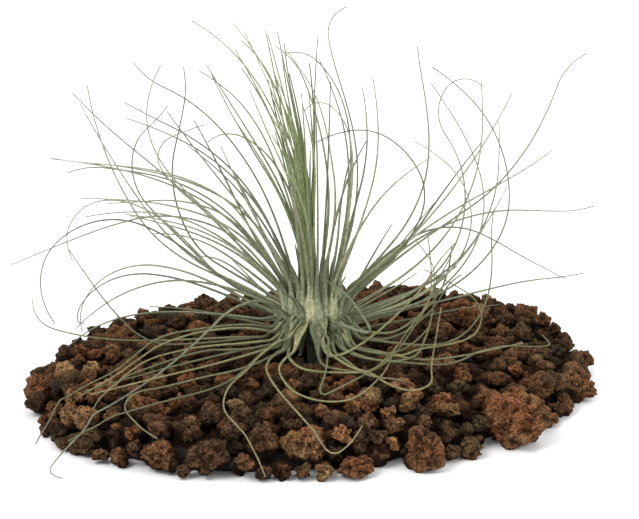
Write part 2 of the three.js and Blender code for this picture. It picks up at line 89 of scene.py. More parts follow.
def smooth(t: float | np.ndarray) -> float | np.ndarray:
    """An even ease from 0 to 1, for one value or an array."""
    u = np.clip(t, 0.0, 1.0)
    return u * u * (3 - 2 * u)


def unit(rows: np.ndarray) -> np.ndarray:
    """Each row of an array, brought to a length of 1."""
    return rows / np.linalg.norm(rows, axis=1)[:, None]


def steepness(pitch: float) -> float:
    """How upright a leaf leaves the bulb: 0 at 5 degrees from level, 1 at 77."""
    return clamp((pitch - 5) / 72, 0, 1)


def along(values: Sequence[float], u: float) -> float:
    """Reads evenly spaced values at a place between 0 and 1.

    Args:
        values: One value, or several at even steps.
        u: The place, 0 at the first and 1 at the last.

    Returns:
        The value there, by straight lines between the steps.
    """
    last = len(values) - 1
    if last == 0:
        return values[0]
    x = clamp(u, 0.0, 1.0) * last
    i = min(math.floor(x), last - 1)
    return lerp(values[i], values[i + 1], x - i)


def curve_through(points: np.ndarray, knots: np.ndarray) -> np.ndarray:
    """A smooth curve through points, read between them.

    Args:
        points: The points, in order.
        knots: Places on the curve, counted in points.

    Returns:
        The curve's points at those places.
    """
    i = np.minimum(knots.astype(int), len(points) - 2)
    t = (knots - i)[:, None]
    last = len(points) - 1
    a, b = points[np.maximum(i - 1, 0)], points[i]
    c, d = points[i + 1], points[np.minimum(i + 2, last)]
    return 0.5 * (
        2 * b + (c - a) * t + (2 * a - 5 * b + 4 * c - d) * t**2 + (3 * b - a - 3 * c + d) * t**3
    )


# ------------------------------------------------------------------ leaf habits


class Leafage(Enum):
    """The three kinds of leaf, by where they grow and by their colour."""

    FAN = "fan"
    HEART = "heart"
    LOW = "low"


@dataclass(frozen=True)
class Habit:
    """How one leaf grows: its azimuth, length, and pitch and swing from root to tip."""

    azimuth: float
    length: float
    pitch: tuple[float, ...]
    swing: tuple[float, ...] = (0.0,)


@dataclass(frozen=True)
class Route:
    """A leaf by the places it passes, in millimetres, from the bulb to its tip."""

    kind: Leafage
    places: tuple[tuple[float, float, float], ...]


@dataclass(frozen=True)
class Fill:
    """A run of leaves placed by rule: ranges of azimuth, length, first pitch and fall."""

    kind: Leafage
    count: int
    turn: tuple[float, float]
    length: tuple[float, float]
    rise: tuple[float, float]
    fall: tuple[float, float]
    seed: int


FAN_HABITS = (
    Habit(176, 132, (52, 50, 25, 4, -16, -22, -24, -24)),
    Habit(180, 122, (60, 60, 55, 30, 16, 6, 5, 12)),
    Habit(187, 114, (58, 58, 52, 38, 25, 12, 8, -25)),
    Habit(170, 122, (48, 46, 44, 42, 40, 38, 42, 48)),
    Habit(196, 122, (55, 50, 46, 45, 50, 70, 100, 125)),
    Habit(182, 118, (75, 74, 68, 60, 52, 40, 25, 60)),
    Habit(192, 108, (50, 50, 52, 45, 42, 60, 160, 165)),
    Habit(173, 108, (70, 68, 55, 38, 25, 28)),
    Habit(185, 94, (60, 56, 42, 15, -4, 0)),
    Habit(150, 140, (18, 16, 14, 30, 52, 62, 72, 82)),
    Habit(158, 126, (24, 18, 38, 52, 56, 60)),
    Habit(141, 136, (20, 14, 16, 52, 80, 108, 105, 75)),
    Habit(152, 138, (16, 20, 42, 34, 12, -18, -60, -130)),
    Habit(146, 136, (14, 14, 32, 34, 36, 90, 140, 130)),
    Habit(172, 146, (24, 34, 38, 22, -14, -45, -90, -130)),
    Habit(175, 108, (20, 28, 22, 6, -25, -60, -110)),
    Habit(166, 112, (14, 20, 14, 2, -25, -55, -140)),
    Habit(179, 96, (28, 20, 6, -16, -34, -48)),
    Habit(183, 94, (10, 8, 4, -6, -24, -55)),
    Habit(0, 122, (74, 74, 84, 94, 104, 108, 100, 10)),
    Habit(-10, 112, (76, 80, 84, 88, 96, 112, 135, 205)),
    Habit(-18, 94, (72, 78, 84, 84, 90, 105, 140, 240), (0, 0, 15, 40)),
    Habit(-14, 120, (48, 42, 50, 76, 118, 145, 185, 205), (0, 0, 15, 40)),
    Habit(8, 144, (40, 38, 34, 34, 50, 62, 72, 20)),
    Habit(13, 108, (44, 40, 34, 30, 26, 28, 38)),
    Habit(20, 124, (38, 38, 28, 16, 4, -8, -6, 14)),
    Habit(27, 126, (40, 36, 22, -4, -28, -34, -30, -32)),
    Habit(4, 100, (10, 12, 12, 14, 12, 4, 12)),
    Habit(-8, 154, (14, 22, 38, 60, 92, 112, 135, 150)),
    Habit(-16, 136, (10, 24, 44, 64, 90, 112, 122, 126)),
    Habit(-4, 140, (16, 30, 52, 78, 100, 125, 60, -60)),
    Habit(38, 124, (34, 34, 40, 60, 84, 98, 104, 98)),
    Habit(-2, 114, (14, 20, 36, 56, 82, 112, 140, 155)),
    Habit(3, 114, (18, 24, 42, 66, 88, 94)),
    Habit(12, 120, (26, 30, 40, 54, 68, 82, 92, 96)),
    Habit(16, 112, (40, 40, 46, 52, 58, 64)),
)

HEART_HABITS = (
    Habit(174, 84, (80, 78, 72, 55, 25, -50)),
    Habit(178, 100, (80, 78, 74, 70, 66, 55, 40, 28)),
    Habit(163, 120, (84, 82, 78, 72, 64, 52, 38, 25)),
    Habit(150, 112, (95, 88, 80, 74, 66, 58, 52, 40)),
    Habit(170, 104, (90, 84, 80, 74, 64, 38)),
    Habit(20, 104, (78, 85, 96, 104, 112, 150)),
    Habit(8, 100, (77, 80, 88, 98, 100, 108, 122, 130)),
    Habit(160, 98, (92, 88, 82, 78, 78, 86)),
)

LOW_HABITS = (
    Habit(186, 112, (-2, 0, 0, 4, 10, 20, 110)),
    Habit(190, 108, (0, -8, 8, 48, 58, 60)),
    Habit(-25, 110, (5, 0, 10, 50, 80, 95, 80), (0, 10)),
)

# Leaves that wind too much for a habit, followed from place to place.
ROUTES = (
    # front: down steeply, a sharp turn on the gravel, then up to the right
    Route(Leafage.LOW, ((5, -22, 29), (5, -30, 25), (4, -43, 22), (2, -57, 20), (3, -62, 20),
        (7, -58, 20), (19, -43, 21), (29, -38, 29), (36, -37, 39), (43, -37, 50), (44, -37, 62),
        (37, -37, 73))),
    # low left: out over the gravel, then down onto it and off its edge
    Route(Leafage.LOW, ((-25, -10, 30), (-48, -22, 32), (-60, -29, 31), (-67, -34, 27), (-76, -42, 22),
        (-88, -55, 19), (-98, -64, 10), (-102, -68, 4))),
    Route(Leafage.LOW, ((-25, -14, 30), (-42, -23, 32), (-57, -31, 30), (-66, -37, 26), (-76, -46, 21),
        (-87, -60, 18))),
    Route(Leafage.FAN, ((-19, -12, 40), (-27, -17, 41), (-34, -23, 39), (-41, -30, 34), (-54, -44, 26),
        (-68, -60, 20), (-82, -77, 14), (-91, -86, 7), (-94, -92, 3), (-89, -96, 2))),
    Route(Leafage.LOW, ((-29, -18, 25), (-36, -22, 26), (-49, -27, 26), (-64, -35, 24), (-74, -50, 20),
        (-79, -62, 18))),
    Route(Leafage.LOW, ((-25, -21, 24), (-40, -28, 26), (-51, -33, 25), (-61, -38, 23), (-70, -44, 21),
        (-78, -63, 20), (-80, -74, 19))),
    Route(Leafage.LOW, ((-27, -28, 20), (-47, -41, 22), (-63, -47, 21), (-73, -51, 21), (-78, -62, 20),
        (-75, -75, 19), (-68, -88, 18))),
    Route(Leafage.LOW, ((-13, -20, 27), (-21, -32, 25), (-26, -42, 22), (-31, -52, 20), (-33, -66, 20),
        (-32, -78, 20), (-27, -90, 19), (-21, -99, 14), (-17, -105, 7))),
    Route(Leafage.LOW, ((-15, -19, 25), (-23, -32, 23), (-29, -45, 21), (-38, -56, 20), (-52, -66, 20),
        (-68, -76, 19), (-80, -82, 16), (-88, -84, 12))),
    # front: down onto the gravel, then round to the right and up
    Route(Leafage.LOW, ((-10, -17, 21), (-9, -28, 20), (-4, -37, 20), (6, -40, 20), (20, -40, 21),
        (30, -37, 28), (38, -34, 39), (43, -32, 48), (44, -25, 56), (43, -18, 68))),
    Route(Leafage.LOW, ((1, -18, 20), (3, -32, 20), (9, -37, 20), (19, -40, 21), (30, -37, 28),
        (39, -36, 42), (47, -34, 58), (51, -32, 65))),
    Route(Leafage.LOW, ((4, -19, 22), (7, -22, 20), (17, -20, 25), (29, -14, 33), (41, -8, 44),
        (48, -4, 54), (54, -3, 61))),
    Route(Leafage.FAN, ((10, -14, 31), (17, -20, 31), (20, -22, 31), (21, -22, 33), (17, -20, 39),
        (12, -18, 45), (4, -15, 50))),
    Route(Leafage.LOW, ((-12, -15, 21), (-17, -27, 21), (-18, -40, 21), (-14, -56, 20), (-7, -76, 20),
        (0, -92, 18), (6, -98, 13), (12, -95, 15), (17, -88, 19))),
    Route(Leafage.LOW, ((-12, -28, 20), (-13, -42, 20), (-7, -59, 19), (4, -67, 19), (15, -64, 20),
        (25, -44, 21), (31, -33, 30))),
    # low right: along the gravel and up, or on to its edge
    Route(Leafage.LOW, ((10, -16, 22), (18, -25, 21), (29, -29, 21), (38, -27, 23), (42, -22, 28),
        (45, -16, 36), (47, -12, 51))),
    Route(Leafage.LOW, ((7, -22, 20), (14, -36, 21), (21, -42, 21), (28, -52, 20), (36, -57, 20),
        (43, -50, 20), (44, -38, 24), (46, -31, 33), (48, -24, 42))),
    Route(Leafage.LOW, ((18, -4, 25), (29, -3, 24), (37, -2, 28), (47, 1, 37), (52, 7, 45),
        (54, 12, 55))),
    Route(Leafage.LOW, ((18, -3, 22), (27, -6, 22), (37, -6, 27), (46, -4, 35), (52, -3, 44),
        (57, -2, 48))),
    Route(Leafage.LOW, ((18, -17, 21), (32, -23, 21), (41, -17, 22), (55, -8, 21), (63, 1, 22),
        (66, 8, 28), (61, 10, 36), (43, 11, 46))),
    Route(Leafage.LOW, ((19, -25, 21), (33, -30, 21), (48, -32, 21), (56, -27, 21), (63, -18, 21),
        (73, -11, 21), (84, -9, 20), (92, -5, 19), (90, 6, 19))),
)

FILLS = (
    Fill(Leafage.FAN, 4, (152, 202), (92, 122), (50, 82), (38, 78), 3),
    Fill(Leafage.FAN, 5, (88, 146), (74, 104), (12, 60), (-10, 50), 17),
    Fill(Leafage.FAN, 4, (36, 84), (74, 100), (2, 16), (-30, 5), 29),
    Fill(Leafage.FAN, 2, (-14, 30), (84, 116), (12, 38), (-60, 0), 31),
    Fill(Leafage.FAN, 6, (-150, -35), (78, 106), (62, 80), (-6, 46), 53),
    Fill(Leafage.HEART, 14, (105, 255), (72, 108), (77, 90), (4, 34), 47),
    Fill(Leafage.LOW, 2, (-170, -120), (70, 108), (-12, 4), (0, 16), 61),
    Fill(Leafage.LOW, 5, (20, 160), (66, 90), (-8, 4), (-4, 14), 79),
)

# Finer leaves that only the dressed plant has, between the ones above.
FINE_FILLS = (
    Fill(Leafage.FAN, 3, (150, 204), (78, 114), (40, 80), (34, 80), 203),
    Fill(Leafage.FAN, 3, (95, 145), (60, 96), (16, 60), (-10, 40), 417),
    Fill(Leafage.FAN, 5, (-155, -30), (64, 100), (60, 82), (-12, 40), 541),
    Fill(Leafage.FAN, 3, (-30, 40), (80, 104), (68, 80), (-50, -14), 587),
    Fill(Leafage.HEART, 12, (90, 270), (62, 106), (76, 92), (0, 34), 547),
    Fill(Leafage.LOW, 3, (-72, -28), (60, 92), (-14, 4), (-90, -20), 779),
    Fill(Leafage.FAN, 10, (-168, -12), (16, 22), (46, 84), (0, 20), 907),
    Fill(Leafage.FAN, 9, (12, 168), (16, 22), (46, 84), (0, 20), 937),
)

# The dry bases of fallen leaves, under the bulb.
STUBS = Fill(Leafage.LOW, 14, (-180, 180), (15, 23), (-60, -20), (-20, 20), 863)

# How a leaf placed by rule strays, in degrees: its bow up or down and its swing aside.
BOW = (-14, 16)
SWAY = (-14, 14)

# Its pitch at even steps from root to tip: the share of its fall, and of its bow.
BENDS = ((0, 0), (0.15, 0.4), (0.45, 1), (0.8, 0.5), (1, 0))


# ------------------------------------------------------------------ the mound's form


@dataclass(frozen=True)
class Mound:
    """The form of the gravel mound: an oval dome with a hollow under the bulb."""

    rim: float = 104.0
    rim_oval: float = 12.0
    rim_turn: float = 24.0
    crown: float = 17.0
    crown_fall: float = 4.0
    shoulder: float = 14.0
    hollow: float = 7.0
    hollow_reach: float = 16.0
    proud: float = 4.0
    rest: float = 4.7
    rest_inset: float = 5.0
    rest_slope: float = 12.0
    ground: float = 1.0
    sink: float = 1.5
    settling: float = 1.6
    well_clear: float = 30.0

    def rim_at(self, angle: float) -> float:
        """The rim's distance from the middle at an angle in radians."""
        return self.rim + self.rim_oval * np.cos(2 * (angle - math.radians(self.rim_turn)))

    def crown_at(self, x: float, y: float) -> float:
        """The dome's height over a spot, as if it had no edge.

        Args:
            x: The spot's place to the right.
            y: Its place to the back.

        Returns:
            The height.
        """
        r = np.hypot(x, y)
        rim = self.rim_at(np.arctan2(y, x))
        hollow = self.hollow * np.exp(-((r / self.hollow_reach) ** 2))
        return self.crown - self.crown_fall * (r / rim) ** 2 - hollow

    def height_at(self, x: float, y: float) -> float:
        """The mound's height at a spot, rounded off to nothing at the rim."""
        edge = np.hypot(x, y) - (self.rim_at(np.arctan2(y, x)) - self.shoulder)
        return self.crown_at(x, y) * (1 - smooth(edge / self.shoulder))

    def rest_at(self, x: float, y: float) -> float:
        """The height at which a leaf lies on the stones at a spot.

        Args:
            x: The spot's place to the right.
            y: Its place to the back.

        Returns:
            The height.
        """
        edge = math.hypot(x, y) - (self.rim_at(math.atan2(y, x)) - self.rest_inset)
        over = self.crown_at(x, y) + self.rest - self.ground
        return self.ground + over * (1 - smooth(edge / self.rest_slope))

    def resting_at(self, x: float, y: float, z: float) -> float:
        """The height of a leaf that would pass at z: it comes to lie on the stones.

        Args:
            x: The leaf's place to the right.
            y: Its place to the back.
            z: Its own height there.

        Returns:
            z where the leaf is well clear, and else a height that eases onto the stones.
        """
        floor = self.rest_at(x, y)
        lift = (max(z, floor - self.sink) - floor) / self.settling
        if lift > self.well_clear:
            return z
        return floor + self.settling * math.log1p(math.exp(lift))


# ------------------------------------------------------------------ leaf runs


@dataclass
class Leaf:
    """A leaf: its kind, its habit, its place in the row, the curve it follows, its run."""

    kind: Leafage
    habit: Habit
    serial: int
    fine: bool = False
    curve: Optional[np.ndarray] = None
    run: np.ndarray = field(default_factory=lambda: np.zeros((0, 6)))


@dataclass(frozen=True)
class SolidBlade:
    """The sizes of a plain solid leaf, which say how much room a leaf needs."""

    root_wide: float
    root_thick: float
    neck_wide: float
    neck_thick: float = 1.2
    waist: float = 30.0
    waist_wide: float = 1.6
    tip_wide: float = 0.85
    tip_thick: float = 0.65
    thinning: float = 0.6
    narrowing: float = 0.55


HEART_SOLID = SolidBlade(3.2, 1.6, 2.2)
OUTER_SOLID = SolidBlade(4.8, 2.2, 2.8)


@dataclass
class Growth:
    """Grows every leaf's run from its habit and keeps the kinds clear of each other."""

    mound: Mound
    steps: int = 40
    straight: float = 0.06
    cell: float = 4.0
    sample_step: float = 1.2
    clearance: float = 1.1
    root_room: float = 8.0
    collar: float = 7.0
    collar_floor: float = 19.5
    collar_step: float = 1.4
    heart_core: float = 0.6
    heart_spread: float = 2.2
    heart_root: float = 41.0
    fan_reach: float = 8.2
    fan_draw: float = 2.6
    fan_root: float = 26.2
    fan_climb: float = 11.0
    route_rise: float = 20.0
    route_points: int = 16
    strays: float = 0.6
    fill_serial: int = 40
    segments: dict[Leafage, int] = field(
        default_factory=lambda: {Leafage.FAN: 8, Leafage.HEART: 8, Leafage.LOW: 10}
    )
    route_segments: dict[Leafage, int] = field(
        default_factory=lambda: {Leafage.FAN: 20, Leafage.LOW: 10}
    )
    turns: tuple[int, ...] = (0, 2, -2, 4, -4, 6, -6, 8, -8, 11, -11, 14, -14, 18, -18, 23, -23, 28, -28)
    taken: dict[tuple[int, int, int], list[tuple]] = field(default_factory=dict)

    def root_of(self, kind: Leafage, pitch: float, serial: int) -> tuple[float, float]:
        """Where a leaf starts, as a distance from the axis and a height.

        Args:
            kind: The leaf's kind.
            pitch: How it leaves the bulb, in degrees from level.
            serial: Its place in the row.

        Returns:
            The distance and the height.
        """
        if kind is Leafage.LOW:
            lift = clamp((pitch + 35) / 40, 0, 1)
            return self.collar, self.collar_floor + self.collar_step + self.collar_step * lift
        if kind is Leafage.HEART:
            return self.heart_core + self.heart_spread * ((serial * GOLDEN_SHARE) % 1), self.heart_root
        rise = steepness(pitch)
        return self.fan_reach - self.fan_draw * rise, self.fan_root + self.fan_climb * rise

    def run_of(self, leaf: Leaf, azimuth: float) -> np.ndarray:
        """Walks a leaf from root to tip, lying on the stones where it meets them.

        Args:
            leaf: The leaf to walk.
            azimuth: The direction it leaves the bulb in, in degrees.

        Returns:
            Rows of x, y, z, tilt, heading and distance from the root.
        """
        if leaf.curve is not None:
            return self.followed(leaf.curve, azimuth)
        habit = leaf.habit
        r, z = self.root_of(leaf.kind, habit.pitch[0], leaf.serial)
        base = math.radians(azimuth)
        x, y = r * math.cos(base), r * math.sin(base)
        step = habit.length / self.steps
        rows = []
        for k in range(self.steps + 1):
            u = max(0.0, (k / self.steps - self.straight) / (1 - self.straight))
            tilt = math.radians(along(habit.pitch, u))
            heading = base + math.radians(along(habit.swing, u))
            rows.append((x, y, self.mound.resting_at(x, y, z), tilt, heading, k * step))
            x += step * math.cos(tilt) * math.cos(heading)
            y += step * math.cos(tilt) * math.sin(heading)
            z += step * math.sin(tilt)
            z = max(z, self.mound.rest_at(x, y) - self.mound.sink)
        return np.array(rows)

    def routed(self, route: Route, serial: int) -> Leaf:
        """A leaf on the smooth curve through a route's places, from its root.

        Args:
            route: The places it passes.
            serial: Its place in the row.

        Returns:
            The leaf, not yet settled.
        """
        first = math.atan2(route.places[0][1], route.places[0][0])
        r, z = self.root_of(route.kind, self.route_rise, serial)
        root = (r * math.cos(first), r * math.sin(first), z)
        points = np.array((root, *route.places), float)
        knots = np.linspace(0, len(points) - 1, self.route_points * len(points))
        curve = curve_through(points, knots)
        length = float(np.linalg.norm(np.diff(curve, axis=0), axis=1).sum())
        return Leaf(route.kind, Habit(0.0, length, (self.route_rise,)), serial, curve=curve)

    def followed(self, curve: np.ndarray, turn: float) -> np.ndarray:
        """A followed leaf's run, at even steps along its curve.

        Args:
            curve: Points close together along the leaf.
            turn: How far the leaf is turned about the plant's axis, in degrees.

        Returns:
            Rows like those of run_of. Where the leaf folds back, its face keeps its side.
        """
        reach = np.concatenate(((0.0,), np.cumsum(np.linalg.norm(np.diff(curve, axis=0), axis=1))))
        at = np.linspace(0, reach[-1], self.steps + 1)
        x, y, z = (np.interp(at, reach, column) for column in curve.T)
        way = math.radians(turn)
        x, y = x * math.cos(way) - y * math.sin(way), x * math.sin(way) + y * math.cos(way)
        z = np.array([self.mound.resting_at(*place) for place in zip(x, y, z)])
        places = np.stack((x, y, z), axis=1)
        step = np.concatenate(
            (places[1:2] - places[:1], places[2:] - places[:-2], places[-1:] - places[-2:-1])
        )
        tilt = np.arctan2(step[:, 2], np.hypot(step[:, 0], step[:, 1]))
        heading = np.arctan2(step[:, 1], step[:, 0])
        for k in range(1, len(heading)):
            if math.cos(heading[k] - heading[k - 1]) < 0:
                heading[k] += math.pi
                tilt[k] = math.pi - tilt[k]
        return np.column_stack((places, tilt, np.unwrap(heading), at))

    def half_at(self, s: float, length: float, kind: Leafage) -> float:
        """Half the breadth of the plain solid leaf at a distance from its root.

        Args:
            s: The distance from the root.
            length: The leaf's length.
            kind: The leaf's kind.

        Returns:
            Half the larger of its width and thickness.
        """
        solid = HEART_SOLID if kind is Leafage.HEART else OUTER_SOLID
        if s < SHEATH:
            wide = lerp(solid.root_wide, solid.neck_wide, smooth(s / SHEATH))
            thick = lerp(solid.root_thick, solid.neck_thick, s / SHEATH)
            return max(wide, thick) / 2
        thinned = clamp((s - SHEATH) / max(length * solid.thinning, 1), 0, 1)
        thick = lerp(solid.neck_thick, solid.tip_thick, thinned)
        if kind is Leafage.HEART:
            narrowed = clamp((s - SHEATH) / max(length * solid.narrowing, 1), 0, 1)
            wide = lerp(solid.neck_wide, solid.tip_wide, narrowed)
        elif s < solid.waist:
            wide = lerp(solid.neck_wide, solid.waist_wide, (s - SHEATH) / (solid.waist - SHEATH))
        else:
            narrowed = clamp((s - solid.waist) / max(length - solid.waist, 1), 0, 1)
            wide = lerp(solid.waist_wide, solid.tip_wide, narrowed)
        return max(wide, thick) / 2

    def samples_of(self, leaf: Leaf, run: np.ndarray) -> list[tuple]:
        """Points along a leaf's straight lengths, each with its half breadth.

        Args:
            leaf: The leaf.
            run: Its run.

        Returns:
            Rows of x, y, z, half breadth, distance and kind.
        """
        segments = self.segments if leaf.curve is None else self.route_segments
        stride = self.steps // segments[leaf.kind]
        out = []
        for k in range(0, self.steps, stride):
            a, b = run[k], run[k + stride]
            n = math.ceil((b[5] - a[5]) / self.sample_step)
            for i in range(n):
                t = i / n
                p = (1 - t) * a + t * b
                half = self.half_at(p[5], leaf.habit.length, leaf.kind)
                out.append((float(p[0]), float(p[1]), float(p[2]), half, float(p[5]), leaf.kind))
        return out

    def cell_of(self, p: Sequence[float]) -> tuple[int, int, int]:
        """The cell of space that a point lies in."""
        return tuple(math.floor(v / self.cell) for v in p[:3])

    def runs_into(self, samples: list[tuple], kind: Leafage) -> bool:
        """True if these points come too near a leaf of another kind.

        Args:
            samples: The leaf's points.
            kind: Its kind.

        Returns:
            Whether it has to turn.
        """
        near = [(i, j, k) for i in (-1, 0, 1) for j in (-1, 0, 1) for k in (-1, 0, 1)]
        for p in samples:
            if p[4] < self.root_room:
                continue
            ci, cj, ck = self.cell_of(p)
            for i, j, k in near:
                for q in self.taken.get((ci + i, cj + j, ck + k), ()):
                    if q[5] is kind:
                        continue
                    reach = p[3] + q[3] + self.clearance
                    if (p[0] - q[0]) ** 2 + (p[1] - q[1]) ** 2 + (p[2] - q[2]) ** 2 < reach * reach:
                        return True
        return False

    def settle(self, leaf: Leaf) -> Optional[Leaf]:
        """Turns a leaf a little at a time until it is clear, or gives it up.

        Args:
            leaf: The leaf to place.

        Returns:
            The leaf with its run, or None if no turn clears it.
        """
        for turn in self.turns:
            run = self.run_of(leaf, leaf.habit.azimuth + turn)
            samples = self.samples_of(leaf, run)
            if self.runs_into(samples, leaf.kind):
                continue
            for p in samples:
                self.taken.setdefault(self.cell_of(p), []).append(p)
            leaf.run = run
            return leaf
        return None

    def filled(self, fill: Fill, fine: bool) -> Iterable[Leaf]:
        """The leaves of one rule, spread evenly with a seeded draw for each habit.

        Args:
            fill: The rule.
            fine: True for leaves that only the dressed plant has.

        Returns:
            Each leaf in turn.
        """
        for i in range(fill.count):
            n = fill.seed + i * 7
            spread = (i + 0.5 + self.strays * (chance(n) - 0.5)) / fill.count
            first = lerp(*fill.rise, (i * GOLDEN_SHARE + chance(n + 1) * 0.2) % 1)
            last = first - lerp(*fill.fall, chance(n + 2))
            bow = lerp(*BOW, chance(n + 3))
            pitch = tuple(lerp(first, last, fall) + bow * bend for fall, bend in BENDS)
            azimuth = lerp(*fill.turn, spread)
            length = lerp(*fill.length, chance(n + 4))
            swing = (0.0, lerp(*SWAY, chance(n + 5)))
            yield Leaf(fill.kind, Habit(azimuth, length, pitch, swing), self.fill_serial + i, fine)

    def grow(self) -> list[Leaf]:
        """Every leaf of the plant, settled in the order that the part's source has.

        Returns:
            The leaves with their runs.
        """
        leaves = [Leaf(Leafage.HEART, habit, i) for i, habit in enumerate(HEART_HABITS)]
        leaves += [self.routed(route, i) for i, route in enumerate(ROUTES)]
        leaves += [Leaf(Leafage.FAN, habit, i) for i, habit in enumerate(FAN_HABITS)]
        leaves += [Leaf(Leafage.LOW, habit, i) for i, habit in enumerate(LOW_HABITS)]
        leaves += [leaf for fill in FILLS for leaf in self.filled(fill, False)]
        leaves += [leaf for fill in FINE_FILLS for leaf in self.filled(fill, True)]
        return [leaf for leaf in map(self.settle, leaves) if leaf]

    def stubs(self) -> list[Leaf]:
        """The dry bases of fallen leaves, hanging round the stem under the bulb.

        Returns:
            The dry bases with their runs.
        """
        leaves = list(self.filled(STUBS, True))
        for leaf in leaves:
            leaf.run = self.run_of(leaf, leaf.habit.azimuth)
        return leaves


# ------------------------------------------------------------------ mesh helpers


def mesh_of(name: str, bm: bmesh.types.BMesh) -> bpy.types.Mesh:
    """A new mesh from a bmesh, which is freed.

    Args:
        name: The mesh's name.
        bm: The bmesh.

    Returns:
        The mesh.
    """
    mesh = bpy.data.meshes.new(name)
    bm.to_mesh(mesh)
    bm.free()
    return mesh


def linked(name: str, data: bpy.types.ID) -> bpy.types.Object:
    """A new object for a mesh, light or camera, linked to the scene.

    Args:
        name: The object's name.
        data: What it shows.

    Returns:
        The object.
    """
    obj = bpy.data.objects.new(name, data)
    bpy.context.scene.collection.objects.link(obj)
    return obj


def template_mesh(name: str, shape: Callable[[bmesh.types.BMesh], None]) -> bpy.types.Mesh:
    """A mesh made by one shaping function, to be copied and bent.

    Args:
        name: The mesh's name.
        shape: The function that fills an empty bmesh.

    Returns:
        The mesh, with its faces pointing outwards.
    """
    bm = bmesh.new()
    shape(bm)
    bmesh.ops.recalc_face_normals(bm, faces=bm.faces)
    return mesh_of(name, bm)


def corners_of(mesh: bpy.types.Mesh) -> np.ndarray:
    """A mesh's vertex places as rows.

    Args:
        mesh: The mesh.

    Returns:
        One row for each vertex, in the mesh's own unit.
    """
    flat = np.zeros(len(mesh.vertices) * 3)
    mesh.vertices.foreach_get("co", flat)
    return flat.reshape(-1, 3)


def marked(mesh: bpy.types.Mesh, marks: dict[str, np.ndarray]) -> bpy.types.Mesh:
    """The mesh, with smooth faces and with named values kept for each vertex.

    Args:
        mesh: The mesh.
        marks: A value for each vertex, by name.

    Returns:
        The same mesh.
    """
    for mark, values in marks.items():
        layer = mesh.attributes.new(mark, "FLOAT", "POINT")
        layer.data.foreach_set("value", values.astype(np.float32))
    mesh.polygons.foreach_set("use_smooth", np.ones(len(mesh.polygons), bool))
    return mesh


def piece_from(
    name: str,
    template: bpy.types.Mesh,
    places: list[np.ndarray],
    marks: dict[str, list[np.ndarray]],
) -> bpy.types.Object:
    """One object made of a template's copies, each moved to its own places.

    Args:
        name: The piece's name.
        template: The mesh that each copy starts from. It is removed.
        places: For each copy, its vertex places in millimetres.
        marks: Named values for each vertex of each copy, kept as attributes.

    Returns:
        The object, with smooth faces, linked to the scene.
    """
    bm = bmesh.new()
    for _ in places:
        bm.from_mesh(template)
    bpy.data.meshes.remove(template)
    mesh = mesh_of(name, bm)
    mesh.vertices.foreach_set("co", (np.concatenate(places) * MM).astype(np.float32).ravel())
    marked(mesh, {mark: np.concatenate(values) for mark, values in marks.items()})
    mesh.update()
    return linked(name, mesh)


# ------------------------------------------------------------------ finishes


